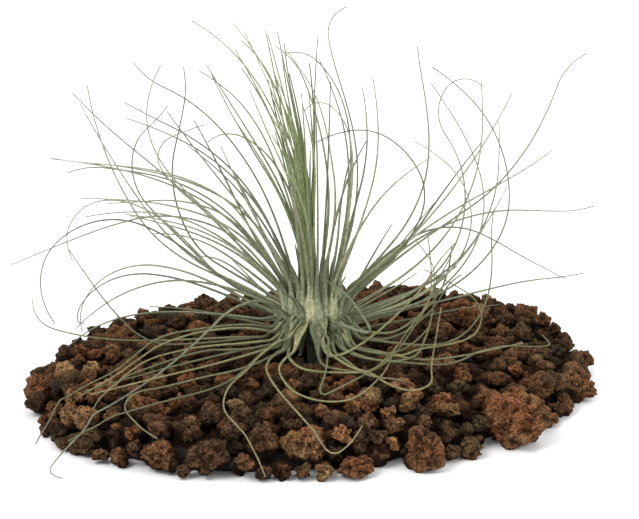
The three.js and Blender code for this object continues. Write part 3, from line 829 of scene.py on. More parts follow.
@dataclass
class Nodes:
    """A short way to lay out one material's nodes."""

    material: bpy.types.Material

    @classmethod
    def fresh(cls, name: str) -> "Nodes":
        """A new material with only its output and shader.

        Args:
            name: The material's name.

        Returns:
            A way to lay out its nodes.
        """
        material = bpy.data.materials.new(name)
        material.use_nodes = True
        return cls(material)

    def add(self, kind: str, **settings: object) -> bpy.types.Node:
        """A new node, with its own properties set by name.

        Args:
            kind: The node's type.
            settings: Its properties by name.

        Returns:
            The node.
        """
        node = self.material.node_tree.nodes.new(kind)
        for key, value in settings.items():
            setattr(node, key, value)
        return node

    def join(self, source: bpy.types.NodeSocket, target: bpy.types.NodeSocket) -> None:
        """Links one socket to another."""
        self.material.node_tree.links.new(source, target)

    def feed(self, term: object, target: bpy.types.NodeSocket) -> None:
        """Links a socket to a node's input, or sets the input to a number or a colour.

        Args:
            term: The socket, number or colour.
            target: The input.
        """
        if isinstance(term, bpy.types.NodeSocket):
            self.join(term, target)
        else:
            target.default_value = (*term, 1.0) if isinstance(term, tuple) else term

    def place(self) -> bpy.types.NodeSocket:
        """Object coordinates."""
        return self.add("ShaderNodeTexCoord").outputs["Object"]

    def mark(self, name: str) -> bpy.types.NodeSocket:
        """The value of a named attribute of the piece."""
        return self.add("ShaderNodeAttribute", attribute_name=name).outputs["Fac"]

    def noise(self, scale: float, detail: float, rough: float) -> bpy.types.NodeSocket:
        """Cloudy noise over the piece, with scale in cells to a metre.

        Args:
            scale: Cells to a metre.
            detail: How many finer layers it has.
            rough: How strong those are.

        Returns:
            The noise, about 0.5 on average.
        """
        node = self.add("ShaderNodeTexNoise")
        node.inputs["Scale"].default_value = scale
        node.inputs["Detail"].default_value = detail
        node.inputs["Roughness"].default_value = rough
        self.join(self.place(), node.inputs["Vector"])
        return node.outputs["Fac"]

    def cells(self, scale: float) -> bpy.types.NodeSocket:
        """Distance to the nearest of scattered points, for pores.

        Args:
            scale: Points to a metre.

        Returns:
            The distance, in cells.
        """
        node = self.add("ShaderNodeTexVoronoi")
        node.inputs["Scale"].default_value = scale
        self.join(self.place(), node.inputs["Vector"])
        return node.outputs["Distance"]

    def sum(self, operation: str, *terms: object) -> bpy.types.NodeSocket:
        """A math node over sockets and plain numbers.

        Args:
            operation: Blender's name for it, such as MULTIPLY_ADD.
            terms: Sockets to link and numbers to set, in order.

        Returns:
            The node's result.
        """
        node = self.add("ShaderNodeMath", operation=operation)
        for slot, term in zip(node.inputs, terms):
            self.feed(term, slot)
        return node.outputs[0]

    def ramp(self, value: bpy.types.NodeSocket, stops: Stops) -> bpy.types.NodeSocket:
        """Colours read by a value.

        Args:
            value: The value, from 0 to 1.
            stops: Pairs of a place and a red, green, blue colour.

        Returns:
            The colour.
        """
        node = self.add("ShaderNodeValToRGB")
        ramp = node.color_ramp
        while len(ramp.elements) < len(stops):
            ramp.elements.new(0.5)
        for element, (at, colour) in zip(ramp.elements, stops):
            element.position = at
            element.color = (*colour, 1.0)
        self.join(value, node.inputs["Fac"])
        return node.outputs["Color"]

    def blend(
        self, mode: str, share: object, low: bpy.types.NodeSocket, high: object
    ) -> bpy.types.NodeSocket:
        """A colour mix of one colour with another colour or socket.

        Args:
            mode: Blender's blend type, such as MULTIPLY.
            share: How much of it, as a number or a socket.
            low: The colour under it.
            high: The colour over it, as a socket or red, green and blue.

        Returns:
            The mixed colour.
        """
        node = self.add("ShaderNodeMix", data_type="RGBA", blend_type=mode)
        factor, under, over = 0, 6, 7
        for term, place in ((share, factor), (low, under), (high, over)):
            self.feed(term, node.inputs[place])
        return node.outputs[2]

    def bump(
        self,
        height: bpy.types.NodeSocket,
        depth: float,
        under: Optional[bpy.types.NodeSocket] = None,
    ) -> bpy.types.NodeSocket:
        """Relief from a height, over another relief if given, with depth in metres.

        Args:
            height: The height, from 0 to 1.
            depth: What a height of 1 stands for, in metres.
            under: The relief under it.

        Returns:
            The bent normal.
        """
        node = self.add("ShaderNodeBump")
        node.inputs["Strength"].default_value = 1.0
        node.inputs["Distance"].default_value = depth
        self.join(height, node.inputs["Height"])
        if under is not None:
            self.join(under, node.inputs["Normal"])
        return node.outputs["Normal"]

    def finished(self, **inputs: object) -> bpy.types.Material:
        """The material, with its shader's inputs fed by name, a low line for a space.

        Args:
            inputs: Sockets, numbers and colours by the input's name.

        Returns:
            The material.
        """
        shader = self.material.node_tree.nodes["Principled BSDF"]
        for name, term in inputs.items():
            self.feed(term, shader.inputs[name.replace("_", " ")])
        return self.material


@dataclass(frozen=True)
class LeafFinish:
    """A leaf's colour from sheath to tip, under a silvery fuzz of fine scales."""

    name: str
    slot: str
    sheath: Colour
    blade: Colour
    middle: Colour
    tip: Colour
    fuzz: float = 0.5
    foot_shade: float = 0.55
    tones: Stops = ((0.0, (0.40, 0.45, 0.40)), (0.5, (0.94, 0.98, 0.94)), (1.0, (1.66, 1.58, 1.50)))
    mottles: Stops = (
        (0.36, (0.36, 0.38, 0.30)), (0.5, (0.98, 0.98, 0.96)), (0.64, (1.72, 1.68, 1.70)),
    )
    mottle_share: float = 0.85
    sheath_shares: Stops = ((0.06, (1, 1, 1)), (0.13, (0.7, 0.7, 0.7)), (0.22, (0, 0, 0)))
    # Painted shade across a sheath: darker towards its edges, where it tucks under its neighbours.
    crease_shade: Stops = ((0.66, (1, 1, 1)), (0.9, (0.30, 0.32, 0.22)))
    edge: Colour = (0.42, 0.43, 0.30)
    edge_share: float = 0.3
    scales: Colour = (0.56, 0.57, 0.48)
    vein_rate: float = 16.0
    vein_depth: float = 0.00006
    scale_depth: float = 0.00025

    def ground(self, n: Nodes) -> bpy.types.NodeSocket:
        """The leaf's colour: by the place along it, with painted shade at its foot, by the leaf, and
        mottled.

        Args:
            n: The material's nodes.

        Returns:
            The colour.
        """
        # Painted shade: the foot of each sheath, tucked into the bulb, is darker.
        foot = tuple(self.foot_shade * c for c in self.sheath)
        stops = (
            (0.0, foot), (0.03, self.sheath), (0.08, self.sheath),
            (0.2, self.blade), (0.6, self.middle), (1.0, self.tip),
        )
        tone = n.ramp(n.mark("tone"), self.tones)
        colour = n.blend("MULTIPLY", 1.0, n.ramp(n.mark("along"), stops), tone)
        mottle = n.ramp(n.noise(800, 5.0, 0.8), self.mottles)
        return n.blend("MULTIPLY", self.mottle_share, colour, mottle)

    def make(self) -> bpy.types.Material:
        """The material: paler edges, painted shade where the sheaths tuck under each other, fuzz and fine
        relief.

        Returns:
            The material.
        """
        n = Nodes.fresh(self.name)
        aside = n.sum("ABSOLUTE", n.mark("across"))
        edge = n.sum("MULTIPLY", n.sum("POWER", aside, 4.0), self.edge_share)
        colour = n.blend("MIX", edge, self.ground(n), self.edge)
        sheath_share = n.ramp(n.mark("along"), self.sheath_shares)
        # Painted shade along the sheaths' edges, strongest at the foot of each leaf.
        colour = n.blend("MULTIPLY", sheath_share, colour, n.ramp(aside, self.crease_shade))
        flakes = n.noise(4200, 2.0, 0.7)
        fleck = n.sum("SMOOTH_MAX", n.sum("MULTIPLY_ADD", flakes, 5.0, -2.7), 0.0, 0.2)
        fleck = n.sum("MULTIPLY", fleck, n.sum("MULTIPLY_ADD", sheath_share, 0.6, 0.4))
        colour = n.blend("MIX", n.sum("MULTIPLY", fleck, self.fuzz), colour, self.scales)
        veins = n.sum("SINE", n.sum("MULTIPLY", n.mark("across"), self.vein_rate))
        relief = n.bump(flakes, self.scale_depth, n.bump(veins, self.vein_depth))
        return n.finished(
            Base_Color=colour, Normal=relief, Roughness=0.62, Sheen_Weight=0.12,
            Sheen_Roughness=0.5, Specular_IOR_Level=0.3,
        )


@dataclass(frozen=True)
class LavaFinish:
    """Porous scoria, from near-black brown through rust to ochre by each stone's tone."""

    name: str
    dark: Colour = (0.056, 0.037, 0.023)
    brown: Colour = (0.118, 0.069, 0.037)
    rust: Colour = (0.180, 0.088, 0.044)
    ochre: Colour = (0.275, 0.168, 0.085)
    hues: Stops = ((0.36, (0.88, 1.0, 0.96)), (0.62, (1.12, 0.94, 0.84)))
    pore_shade: Stops = ((0.15, (0.10, 0.08, 0.07)), (0.75, (1.25, 1.2, 1.15)))
    grains: Stops = ((0.39, (0.14, 0.13, 0.12)), (0.5, (1.0, 1.0, 1.0)), (0.63, (2.8, 2.55, 2.25)))
    painted_shade: Colour = (0.10, 0.075, 0.06)
    dust: Colour = (0.50, 0.38, 0.27)
    patchiness: float = 0.7
    hole_depth: float = 0.0009
    grain_depth: float = 0.0010

    def make(self) -> bpy.types.Material:
        """The material: tone by stone, patches, painted shade in the pores and bubbles and deep in the heap,
        dust and glints.

        Returns:
            The material.
        """
        n = Nodes.fresh(self.name)
        patch = n.sum("MULTIPLY_ADD", n.noise(170, 5.0, 0.65), self.patchiness, -self.patchiness / 2)
        tone = n.sum("ADD", n.mark("tone"), patch)
        stops = ((0.0, self.dark), (0.35, self.brown), (0.68, self.rust), (1.0, self.ochre))
        hue = n.ramp(n.noise(60, 1.0, 0.5), self.hues)
        colour = n.blend("MULTIPLY", 1.0, n.ramp(tone, stops), hue)
        hole = n.sum("SMOOTH_MIN", n.sum("MULTIPLY", n.cells(780), 2.3), 1.0, 0.25)
        # Painted shade in the pores, with the surface between them a little lighter.
        colour = n.blend("MULTIPLY", 0.9, colour, n.ramp(hole, self.pore_shade))
        fine = n.noise(1400, 4.0, 0.85)
        colour = n.blend("MULTIPLY", 0.9, colour, n.ramp(fine, self.grains))
        # Painted shade: darker in the stones' bubbles, deep in the heap and near the plant's axis.
        colour = n.blend("MULTIPLY", n.sum("MULTIPLY", n.mark("painted_shade"), 0.95), colour, self.painted_shade)
        # Light specks by noise: partly dust, partly painted glints.
        glint = n.sum("MAXIMUM", n.sum("MULTIPLY_ADD", n.noise(1500, 2.0, 0.8), 9.0, -6.0), 0.0)
        colour = n.blend("MIX", n.sum("MULTIPLY", glint, 0.4), colour, self.dust)
        relief = n.bump(fine, self.grain_depth, n.bump(hole, self.hole_depth))
        return n.finished(Base_Color=colour, Normal=relief, Roughness=0.95, Specular_IOR_Level=0.12)


@dataclass(frozen=True)
class EarthFinish:
    """Dark lava grit and dust between the stones, made near-black as painted shade for the deep gaps."""

    name: str = "lava grit"
    crumbs: Stops = ((0.0, (0.030, 0.018, 0.012)), (0.6, (0.008, 0.005, 0.004)))
    depth: float = 0.0012

    def make(self) -> bpy.types.Material:
        """The material: dark crumbs with deep gaps between them, near-black towards the gaps as painted
        shade.

        Returns:
            The material.
        """
        n = Nodes.fresh(self.name)
        crumbs = n.cells(420)
        relief = n.bump(crumbs, self.depth)
        return n.finished(Base_Color=n.ramp(crumbs, self.crumbs), Normal=relief, Roughness=0.95)


SILVER = LeafFinish(
    "silver leaf", "leaf_silver",
    (0.330, 0.342, 0.212), (0.270, 0.292, 0.168), (0.262, 0.276, 0.185), (0.320, 0.322, 0.262), 0.46,
)
GREEN = LeafFinish(
    "heart leaf", "leaf_green",
    (0.275, 0.325, 0.155), (0.290, 0.370, 0.140), (0.320, 0.390, 0.155), (0.330, 0.360, 0.215), 0.20,
)
OLIVE = LeafFinish(
    "old leaf", "leaf_olive",
    (0.270, 0.276, 0.152), (0.236, 0.240, 0.104), (0.225, 0.214, 0.080), (0.250, 0.222, 0.100), 0.30,
)
BARK = LeafFinish(
    "dry leaf base", "leaf_olive",
    (0.080, 0.078, 0.046), (0.075, 0.066, 0.036), (0.075, 0.060, 0.034), (0.075, 0.058, 0.034), 0.10,
)
LAVA = LavaFinish("lava stone")


# ------------------------------------------------------------------ the plant


@dataclass(frozen=True)
class Widths:
    """How wide a kind of leaf is: at its sheath, where the blade starts, and further on."""

    sheath: float
    neck: float
    thread: float


LEAF_WIDTHS = {
    Leafage.FAN: Widths(6.6, 1.5, 0.82),
    Leafage.HEART: Widths(4.4, 1.75, 0.84),
    Leafage.LOW: Widths(6.0, 1.12, 0.74),
}

# The bulb's outline from the stem's foot to its top: distance from the axis, and height.
BULB_OUTLINE = (
    (0, 8.6), (2.6, 8.6), (3.0, 14), (2.8, 19), (5.5, 20.4), (8.0, 22), (9.2, 24), (9.9, 27),
    (10.0, 29.6), (9.4, 32.6), (8.0, 36), (6.2, 39.6), (4.4, 42.4), (0, 43.6),
)


@dataclass
class Rosette:
    """The plant: its bulb of clasping sheaths and every leaf of the three kinds."""

    sides: int = 12
    rings: int = 64
    sheath_rings: int = 20
    channel: float = 0.34
    keel: float = 0.95
    clasp_at: tuple[float, ...] = (0, 0.22, 0.38, 0.48, 0.58, 0.7, 0.84, 1.0)
    clasp: tuple[float, ...] = (0.85, 1.0, 0.92, 0.7, 0.46)
    waist: float = 30.0
    slender: float = 60.0
    tip: float = 0.46
    short_tip: float = 0.4
    fine_share: float = 0.85
    thickness: tuple[float, ...] = (1.0, 1.5, 1.1, 0.7, 0.5, 0.3)
    curl: tuple[float, ...] = (1.2, 2.0, 1.5, 0.42, 0.22, 0.04)
    along_span: float = 90.0
    low_foot: float = 8.6
    low_band: tuple[float, float] = (22.6, 33.0)
    fan_foot: float = 9.8
    heart_foot: float = 4.5
    heart_base: float = 33.0
    unfurl: float = 5.5
    bulb_steps: int = 72
    folds: int = 6
    fold_twist: float = 0.12
    fold_depth: float = 0.9

    def blade_shape(self, bm: bmesh.types.BMesh) -> None:
        """A closed bar of even rings, to be bent into a leaf.

        Args:
            bm: An empty bmesh.
        """
        bmesh.ops.create_cone(
            bm, cap_ends=True, cap_tris=False, segments=self.sides, radius1=1, radius2=1, depth=1
        )
        long = [e for e in bm.edges if abs(e.verts[0].co.z - e.verts[1].co.z) > 0.5]
        bmesh.ops.subdivide_edges(bm, edges=long, cuts=self.rings - 1, use_grid_fill=True)

    def section(self) -> np.ndarray:
        """The leaf's section: a shallow channel above, a keel below.

        Returns:
            A point for each side of the bar: its place across, and its height.
        """
        rims = (0.92, 0.6, 0.25, -0.25, -0.6, -0.92)
        depths = (1, 1, 0.35, 0.35, 1, 1)
        upper = [(x, self.channel * (1 - abs(x)) ** 0.5 * depth) for x, depth in zip(rims, depths)]
        under = (-0.92, -0.6, -0.22, 0.22, 0.6, 0.92)
        lower = [(x, -self.keel * (1 - x * x) ** 0.5 - 0.05) for x in under]
        return np.array(upper + lower)

    def width_at(self, s: np.ndarray, leaf: Leaf) -> np.ndarray:
        """The leaf's true width, broad in the sheath and thread-fine at the tip.

        Args:
            s: Distances from the root.
            leaf: The leaf.

        Returns:
            The width at each distance.
        """
        length = leaf.habit.length
        widths = LEAF_WIDTHS[leaf.kind]
        neck = widths.neck
        broad = widths.sheath * (0.75 + 0.5 * chance(leaf.serial * 5.3 + length))
        clasp = [broad * share for share in self.clasp]
        sheath = np.interp(s / SHEATH, self.clasp_at, (*clasp, broad * 0.3 + 0.3, neck * 1.25, neck))
        if length < self.slender:
            blade = np.interp(s, (SHEATH, length), (neck, self.short_tip))
        else:
            places = (SHEATH, self.waist, self.slender, length)
            blade = np.interp(s, places, (neck, 0.64 * neck + 0.05, widths.thread, self.tip))
        return np.where(s < SHEATH, sheath, blade) * (self.fine_share if leaf.fine else 1.0)

    def foot_of(self, leaf: Leaf, rise: float, end: float) -> tuple[float, float, float, float]:
        """Where a sheath starts on the bulb, and which way it sets out.

        Args:
            leaf: The leaf.
            rise: How upright it is, from 0 to 1.
            end: The height at which its blade begins.

        Returns:
            The foot's distance from the axis and its height, then the way out and up.
        """
        if leaf.kind is Leafage.LOW:
            height = 0.5 * end + 15.5 + 7.0 * chance(leaf.serial * 3.1)
            return self.low_foot, clamp(height, *self.low_band), 5.0, 0.8
        if leaf.kind is Leafage.HEART:
            return self.heart_foot, self.heart_base + 4.0 * chance(leaf.serial * 2.9), 0.8, 5.0
        layer = chance(leaf.serial * 7.7 + leaf.habit.length)
        reach = self.fan_foot + 1.5 * layer - 1.0 * rise
        return reach, 23.0 + 5.5 * rise + 3.5 * layer, 3.2 - 1.2 * rise, 4.2

    def sheath_path(self, leaf: Leaf, knots: np.ndarray) -> np.ndarray:
        """The way a sheath climbs the bulb's side before its blade leaves it.

        Args:
            leaf: The leaf.
            knots: Places on the sheath, 0 at its foot and 1 where the blade begins.

        Returns:
            The path's points.
        """
        run = leaf.run
        at = float(np.interp(SHEATH, run[:, 5], np.arange(len(run))))
        end, on = curve_through(run[:, :3], np.array([at, at + 0.5]))
        away = (on - end) / np.linalg.norm(on - end)
        tilt, heading = run[0, 3], run[0, 4]
        out = np.array((math.cos(heading), math.sin(heading), 0.0))
        up = np.array((0.0, 0.0, 1.0))
        reach, height, lean_out, lean_up = self.foot_of(leaf, steepness(math.degrees(tilt)), end[2])
        foot = out * reach + up * height
        lean = foot + out * lean_out + up * lean_up
        before = end - away * self.unfurl
        t = knots[:, None]
        return (1 - t) ** 3 * foot + 3 * t * (1 - t) ** 2 * lean + 3 * t**2 * (1 - t) * before + t**3 * end

    def sides_of(self, axis: np.ndarray, heading: np.ndarray) -> tuple[np.ndarray, np.ndarray]:
        """The ways to a leaf's left edge and to its upper face, all along its axis.

        Args:
            axis: The points of its axis.
            heading: Its heading at each.

        Returns:
            The two directions at each point.
        """
        ahead = unit(np.gradient(axis, axis=0))
        side = np.stack((-np.sin(heading), np.cos(heading), np.zeros(len(heading))), axis=1)
        side = unit(side - ahead * (side * ahead).sum(axis=1)[:, None])
        return side, np.cross(ahead, side)

    def place_blade(self, leaf: Leaf, template: np.ndarray) -> tuple[np.ndarray, ...]:
        """Bends the template bar up the bulb's side and along a leaf's run.

        Args:
            leaf: The settled leaf.
            template: The bar's vertex places.

        Returns:
            The new places, and each vertex's distance along and across the leaf.
        """
        run, length = leaf.run, leaf.habit.length
        steps = np.arange(len(run))
        first = float(np.interp(SHEATH, run[:, 5], steps))
        foot = np.linspace(0, 1, self.sheath_rings + 1)[:-1]
        knots = np.linspace(first, len(run) - 1, self.rings + 1 - len(foot))
        axis = np.concatenate((self.sheath_path(leaf, foot), curve_through(run[:, :3], knots)))
        s = np.concatenate((foot * SHEATH, np.interp(knots, steps, run[:, 5])))
        heading = np.concatenate((np.full(len(foot), run[0, 4]), np.interp(knots, steps, run[:, 4])))
        side, over = self.sides_of(axis, heading)
        places = (0, 4, 8, SHEATH, min(45.0, 0.5 * (SHEATH + length)), length)
        thick = np.interp(s, places, self.thickness)
        curl = np.interp(s, places, self.curl)
        ring = np.rint((template[:, 2] + 0.5) * self.rings).astype(int)
        turn = np.rint(np.arctan2(template[:, 1], template[:, 0]) / (2 * math.pi) * self.sides)
        form = self.section()[turn.astype(int) % self.sides]
        across = form[:, 0]
        shift = across * self.width_at(s, leaf)[ring] / 2
        rise = form[:, 1] * thick[ring] + across**2 * curl[ring]
        out = axis[ring] + side[ring] * shift[:, None] + over[ring] * rise[:, None]
        return out, s[ring] / max(length, self.along_span), across

    def dress(self, name: str, leaves: list[Leaf], finish: LeafFinish) -> bpy.types.Object:
        """A group of leaves as one piece.

        Args:
            name: The piece's name.
            leaves: Its leaves.
            finish: Their finish.

        Returns:
            The piece, on its body.
        """
        template = template_mesh(f"{name} blade", self.blade_shape)
        bar = corners_of(template)
        places, ways, sides = zip(*(self.place_blade(leaf, bar) for leaf in leaves))
        tones = [np.full(len(bar), 0.1 + 0.8 * chance(i * 3.7 + 11)) for i in range(len(leaves))]
        piece = piece_from(name, template, places, {"along": ways, "across": sides, "tone": tones})
        piece.data.materials.append(finish.make())
        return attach(piece, "root")

    def bulb_shape(self, bm: bmesh.types.BMesh) -> None:
        """The bulb's outline turned about its axis, with folds down its side.

        Args:
            bm: An empty bmesh.
        """
        verts = [bm.verts.new((r * MM, 0, z * MM)) for r, z in BULB_OUTLINE]
        edges = [bm.edges.new(pair) for pair in zip(verts, verts[1:])]
        bmesh.ops.spin(
            bm, geom=verts + edges, cent=(0, 0, 0), axis=(0, 0, 1), angle=2 * math.pi,
            steps=self.bulb_steps, use_merge=True,
        )
        bmesh.ops.remove_doubles(bm, verts=bm.verts, dist=1e-5)
        bmesh.ops.subdivide_edges(bm, edges=bm.edges, cuts=1, use_grid_fill=True)
        for v in bm.verts:
            r = math.hypot(v.co.x, v.co.y) / MM
            if r < 5:
                continue
            angle = math.atan2(v.co.y, v.co.x)
            fold = abs(math.sin(self.folds * angle + self.fold_twist * v.co.z / MM))
            k = 1 - self.fold_depth * (1 - fold**0.6) / r
            v.co.x *= k
            v.co.y *= k

    def bulb(self, finish: LeafFinish) -> bpy.types.Object:
        """The bulb's body under its sheaths, with the short stem in the gravel.

        Args:
            finish: Its finish.

        Returns:
            The piece, on its body.
        """
        mesh = template_mesh("bulb", self.bulb_shape)
        # Painted shade: below 28 mm the bulb takes the dark foot colour and the darkest leaf tone, easing to
        # the sheath colour by 36 mm.
        high = smooth((corners_of(mesh)[:, 2] / MM - 28) / 8)
        marked(mesh, {"along": 0.08 * high, "across": 0 * high, "tone": 0.6 * high})
        piece = linked("bulb", mesh)
        mesh.materials.append(finish.make())
        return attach(piece, "root")


# ------------------------------------------------------------------ the gravel


@dataclass(frozen=True)
class Stone:
    """One stone: its middle, its size, how squat it is, its seed and its tone."""

    x: float
    y: float
    z: float
    size: float
    squash: float
    seed: float
    tone: float


# Each loose stone of the frame: x, y, size, squash and tone.
FREE_STONES = (
    (73, -55, 26, 0.80, 0.66), (40, -80, 16, 1.00, 0.45), (57, -70, 11, 0.80, 0.30),
    (14, -89, 12, 0.80, 0.62), (-2, -82, 16, 0.95, 0.80), (-19, -83, 15, 0.95, 0.18),
    (-38, -87, 16, 0.80, 0.16), (-56, -84, 13, 0.85, 0.40), (-62, -55, 20, 0.75, 0.78),
    (-82, -68, 14, 0.85, 0.20), (100, -13, 18, 0.90, 0.60), (84, -30, 14, 0.85, 0.35),
    (25, 66, 17, 0.80, 0.50), (-46, 62, 18, 0.80, 0.45), (60, 58, 16, 0.80, 0.55),
    (-90, -40, 12, 0.85, 0.50),
)

# Waves that shape a stone: each one's height, its rates along x, y and z, and its phase.
LUMPS = ((0.13, 2.3, 1.7, 0, 1.0), (0.11, 0, 3.1, -2.2, 1.9), (0.09, 3.7, 0, 4.3, 2.7))
CRAGS = (
    (0.034, 7.1, 5.3, 0, 3.1), (0.028, 0, 8.3, -6.7, 1.7), (0.022, 6.1, 0, 9.7, 2.3),
    (0.014, 13.0, -11.0, 0, 5.9), (0.014, 0, 14.0, 12.0, 4.3),
)


@dataclass
class Pile:
    """Drops stones one by one, each into the lowest free place that is offered."""

    mound: Mound
    tries: int = 44
    close: float = 0.84
    spare: float = 3.8
    seat: float = 0.84
    crest: float = 0.86
    tall: float = 1.75
    edge: float = 0.9
    stem_room: float = 4.4
    stones: list[Stone] = field(default_factory=list)
    balls: list[tuple[float, float, float, float]] = field(default_factory=list)

    def top_at(self, x: float, y: float, ball: float) -> float:
        """The height that a stone's top may reach at a spot."""
        return max(self.mound.height_at(x, y) + self.spare, self.tall * ball)

    def offer(self, n: float, ball: float) -> Iterable[tuple[float, float]]:
        """Free spots on the mound, tried one after another.

        Args:
            n: The stone's seed.
            ball: Half its size.

        Returns:
            Each spot's x and y in turn.
        """
        for k in range(self.tries):
            angle = 2 * math.pi * chance(n * 1.7 + k * 0.93)
            reach = self.mound.rim_at(angle) - self.edge * ball
            r = reach * math.sqrt(chance(n * 2.3 + k * 1.31 + 50))
            if r > ball + self.stem_room:
                yield r * math.cos(angle), r * math.sin(angle)

    def drop(self, n: float, size: float, tone: float, squash: float) -> None:
        """Settles one stone, or leaves it out where no spot is free.

        Args:
            n: Its seed.
            size: Its size across.
            tone: Its tone.
            squash: How squat it is.
        """
        ball = size / 2
        held = np.array(self.balls)
        best = None
        for x, y in self.offer(n, ball):
            gap = (self.close * (ball + held[:, 3])) ** 2 - (held[:, 0] - x) ** 2 - (held[:, 1] - y) ** 2
            rest = held[:, 2] + np.sqrt(np.maximum(gap, 0))
            z = max(self.seat * ball, float(rest[gap > 0].max()) if (gap > 0).any() else 0)
            if z + self.crest * ball < self.top_at(x, y, ball) and (best is None or z < best[2]):
                best = (x, y, z)
        if best is not None:
            self.balls.append((*best, ball))
            self.stones.append(Stone(*best, size, squash, n * 0.37 + 0.2, tone))


@dataclass
class Gravel:
    """The mound's stones, the grit in its gaps and the earth under them."""

    mound: Mound
    drops: int = 1500
    smallest: float = 7.0
    size_spread: float = 10.5
    large: float = 11.5
    grit: int = 500
    grit_sizes: tuple[float, float] = (3.4, 6.4)
    grit_depths: tuple[float, float] = (1.5, 5.5)
    grit_ring: float = 10.0
    grit_inset: float = 16.0
    seen: float = 10.0
    skirt: float = 20.0
    tone_spread: tuple[float, ...] = (0, 0.3, 0.62, 0.86, 1)
    tones: tuple[float, ...] = (-0.08, 0.16, 0.44, 0.74, 1.02)
    shade_from: float = 1.6
    shade_depth: float = 4.6
    # Painted shade on the stones near the plant's axis, and how far it reaches.
    bulb_shade: float = 0.6
    bulb_shade_reach: float = 36.0
    facets: int = 10
    facet_cuts: tuple[float, float] = (0.62, 0.92)
    facet_lean: float = 0.3
    bubbles: tuple[tuple[float, float], ...] = ((4.4, 0.95), (2.4, 0.95), (1.4, 0.8))
    roughness: float = 0.10
    fullness: float = 1.07
    flatness: float = 0.92
    below_rest: float = 0.9
    low_stone: float = 9.0
    earth_inset: float = 14.0
    earth_depth: float = 7.4
    earth_rough: float = 1.4
    earth_least: float = 2.0

    def tone_of(self, n: float) -> float:
        """A stone's tone: mostly dark and brown, some rust, a few ochre."""
        return float(np.interp(chance(n + 1700), self.tone_spread, self.tones))

    def loose(self) -> list[Stone]:
        """The frame's own loose stones, where it has them.

        Returns:
            The stones, in the order of their nodes.
        """
        out = []
        for i, (x, y, size, squash, tone) in enumerate(FREE_STONES):
            top = size / 2 * squash * 1.08
            z = max(self.mound.height_at(x, y) + self.mound.proud - 0.1 - top, size * squash * 0.4)
            out.append(Stone(x, y, z, size, squash, i + 1.3, tone))
        return out

    def heap(self) -> list[Stone]:
        """The stones of the heap that can be seen, dropped round the loose ones.

        Returns:
            The stones, in the order that they fell.
        """
        pile = Pile(self.mound)
        pile.balls = [(s.x, s.y, s.z, s.size * 0.46) for s in self.loose()]
        for i in range(self.drops):
            n = 40.0 + i
            later = 1 - 0.6 * i / self.drops
            size = self.smallest + self.size_spread * chance(n + 900) ** 1.5 * later
            pile.drop(n, size, self.tone_of(n), lerp(0.78, 1.0, chance(n + 1100)))
        return [s for s in pile.stones if self.shows(s)]

    def shows(self, stone: Stone) -> bool:
        """True for a stone near the rim, or with its top not far below the mound's form.

        Args:
            stone: The stone.

        Returns:
            Whether it is kept.
        """
        edge = self.mound.rim_at(math.atan2(stone.y, stone.x)) - math.hypot(stone.x, stone.y)
        top = stone.z + stone.size * 0.4
        return edge < self.skirt or top > self.mound.height_at(stone.x, stone.y) - self.seen

    def chips(self) -> list[Stone]:
        """Small chips that lie in the gaps.

        Returns:
            The chips.
        """
        out = []
        for i in range(self.grit):
            n = 3000 + i
            angle = math.radians(i * GOLDEN_ANGLE + 31)
            spread = math.sqrt((i + 0.5) / self.grit)
            size = lerp(*self.grit_sizes, chance(n))
            r = self.grit_ring + spread * (self.mound.rim_at(angle) - self.grit_inset)
            x, y = r * math.cos(angle), r * math.sin(angle)
            z = max(self.mound.height_at(x, y) - lerp(*self.grit_depths, chance(n + 50)), size * 0.4)
            out.append(Stone(x, y, z, size, lerp(0.7, 1.0, chance(n + 90)), n * 0.61, self.tone_of(n + 7)))
        return out

    def waves(self, way: np.ndarray, seed: float, rows: Sequence[tuple], base: float) -> np.ndarray:
        """Adds waves over a stone's directions to a base value.

        Args:
            way: The directions.
            seed: The stone's seed.
            rows: For each wave its height, three rates and phase.
            base: The value to start from.

        Returns:
            The sum in each direction.
        """
        x, y, z = way.T
        total = np.full(len(way), base)
        for height, a, b, c, phase in rows:
            total += height * np.sin(a * x + b * y + c * z + phase * seed)
        return total

    def shade_at(self, place: np.ndarray) -> np.ndarray:
        """How much painted shade a spot on a stone gets for lying deep in the heap or close under the bulb.

        Args:
            place: The spots, a row for each.

        Returns:
            The shade of each, from 0 to 1.
        """
        x, y, z = place.T
        # Painted shade for lying deep under the mound's form.
        under = self.mound.height_at(x, y) + self.mound.proud - z
        # Painted shade near the plant's axis, where the stones lie under the leaves.
        bulb_shade = self.bulb_shade * np.exp(-((np.hypot(x, y) / self.bulb_shade_reach) ** 2))
        return np.maximum(smooth((under - self.shade_from) / self.shade_depth), bulb_shade)

    def broken(self, ball: np.ndarray, seed: float, draw: np.random.Generator) -> np.ndarray:
        """A broken stone's reach in each direction, about 1: lumps, flat faces and crags.

        Args:
            ball: The directions.
            seed: The stone's seed.
            draw: The stone's own random draws.

        Returns:
            The reach in each direction.
        """
        reach = self.waves(ball, seed, LUMPS, 1.0)
        faces = unit(draw.normal(size=(self.facets, 3)))
        cut = draw.uniform(*self.facet_cuts, self.facets)
        lean = ball @ faces.T
        flat = np.where(lean > self.facet_lean, cut / np.maximum(lean, self.facet_lean), 9.0).min(axis=1)
        return np.minimum(reach, flat * reach.mean() * 1.08) + self.waves(ball, seed, CRAGS, 0.0)

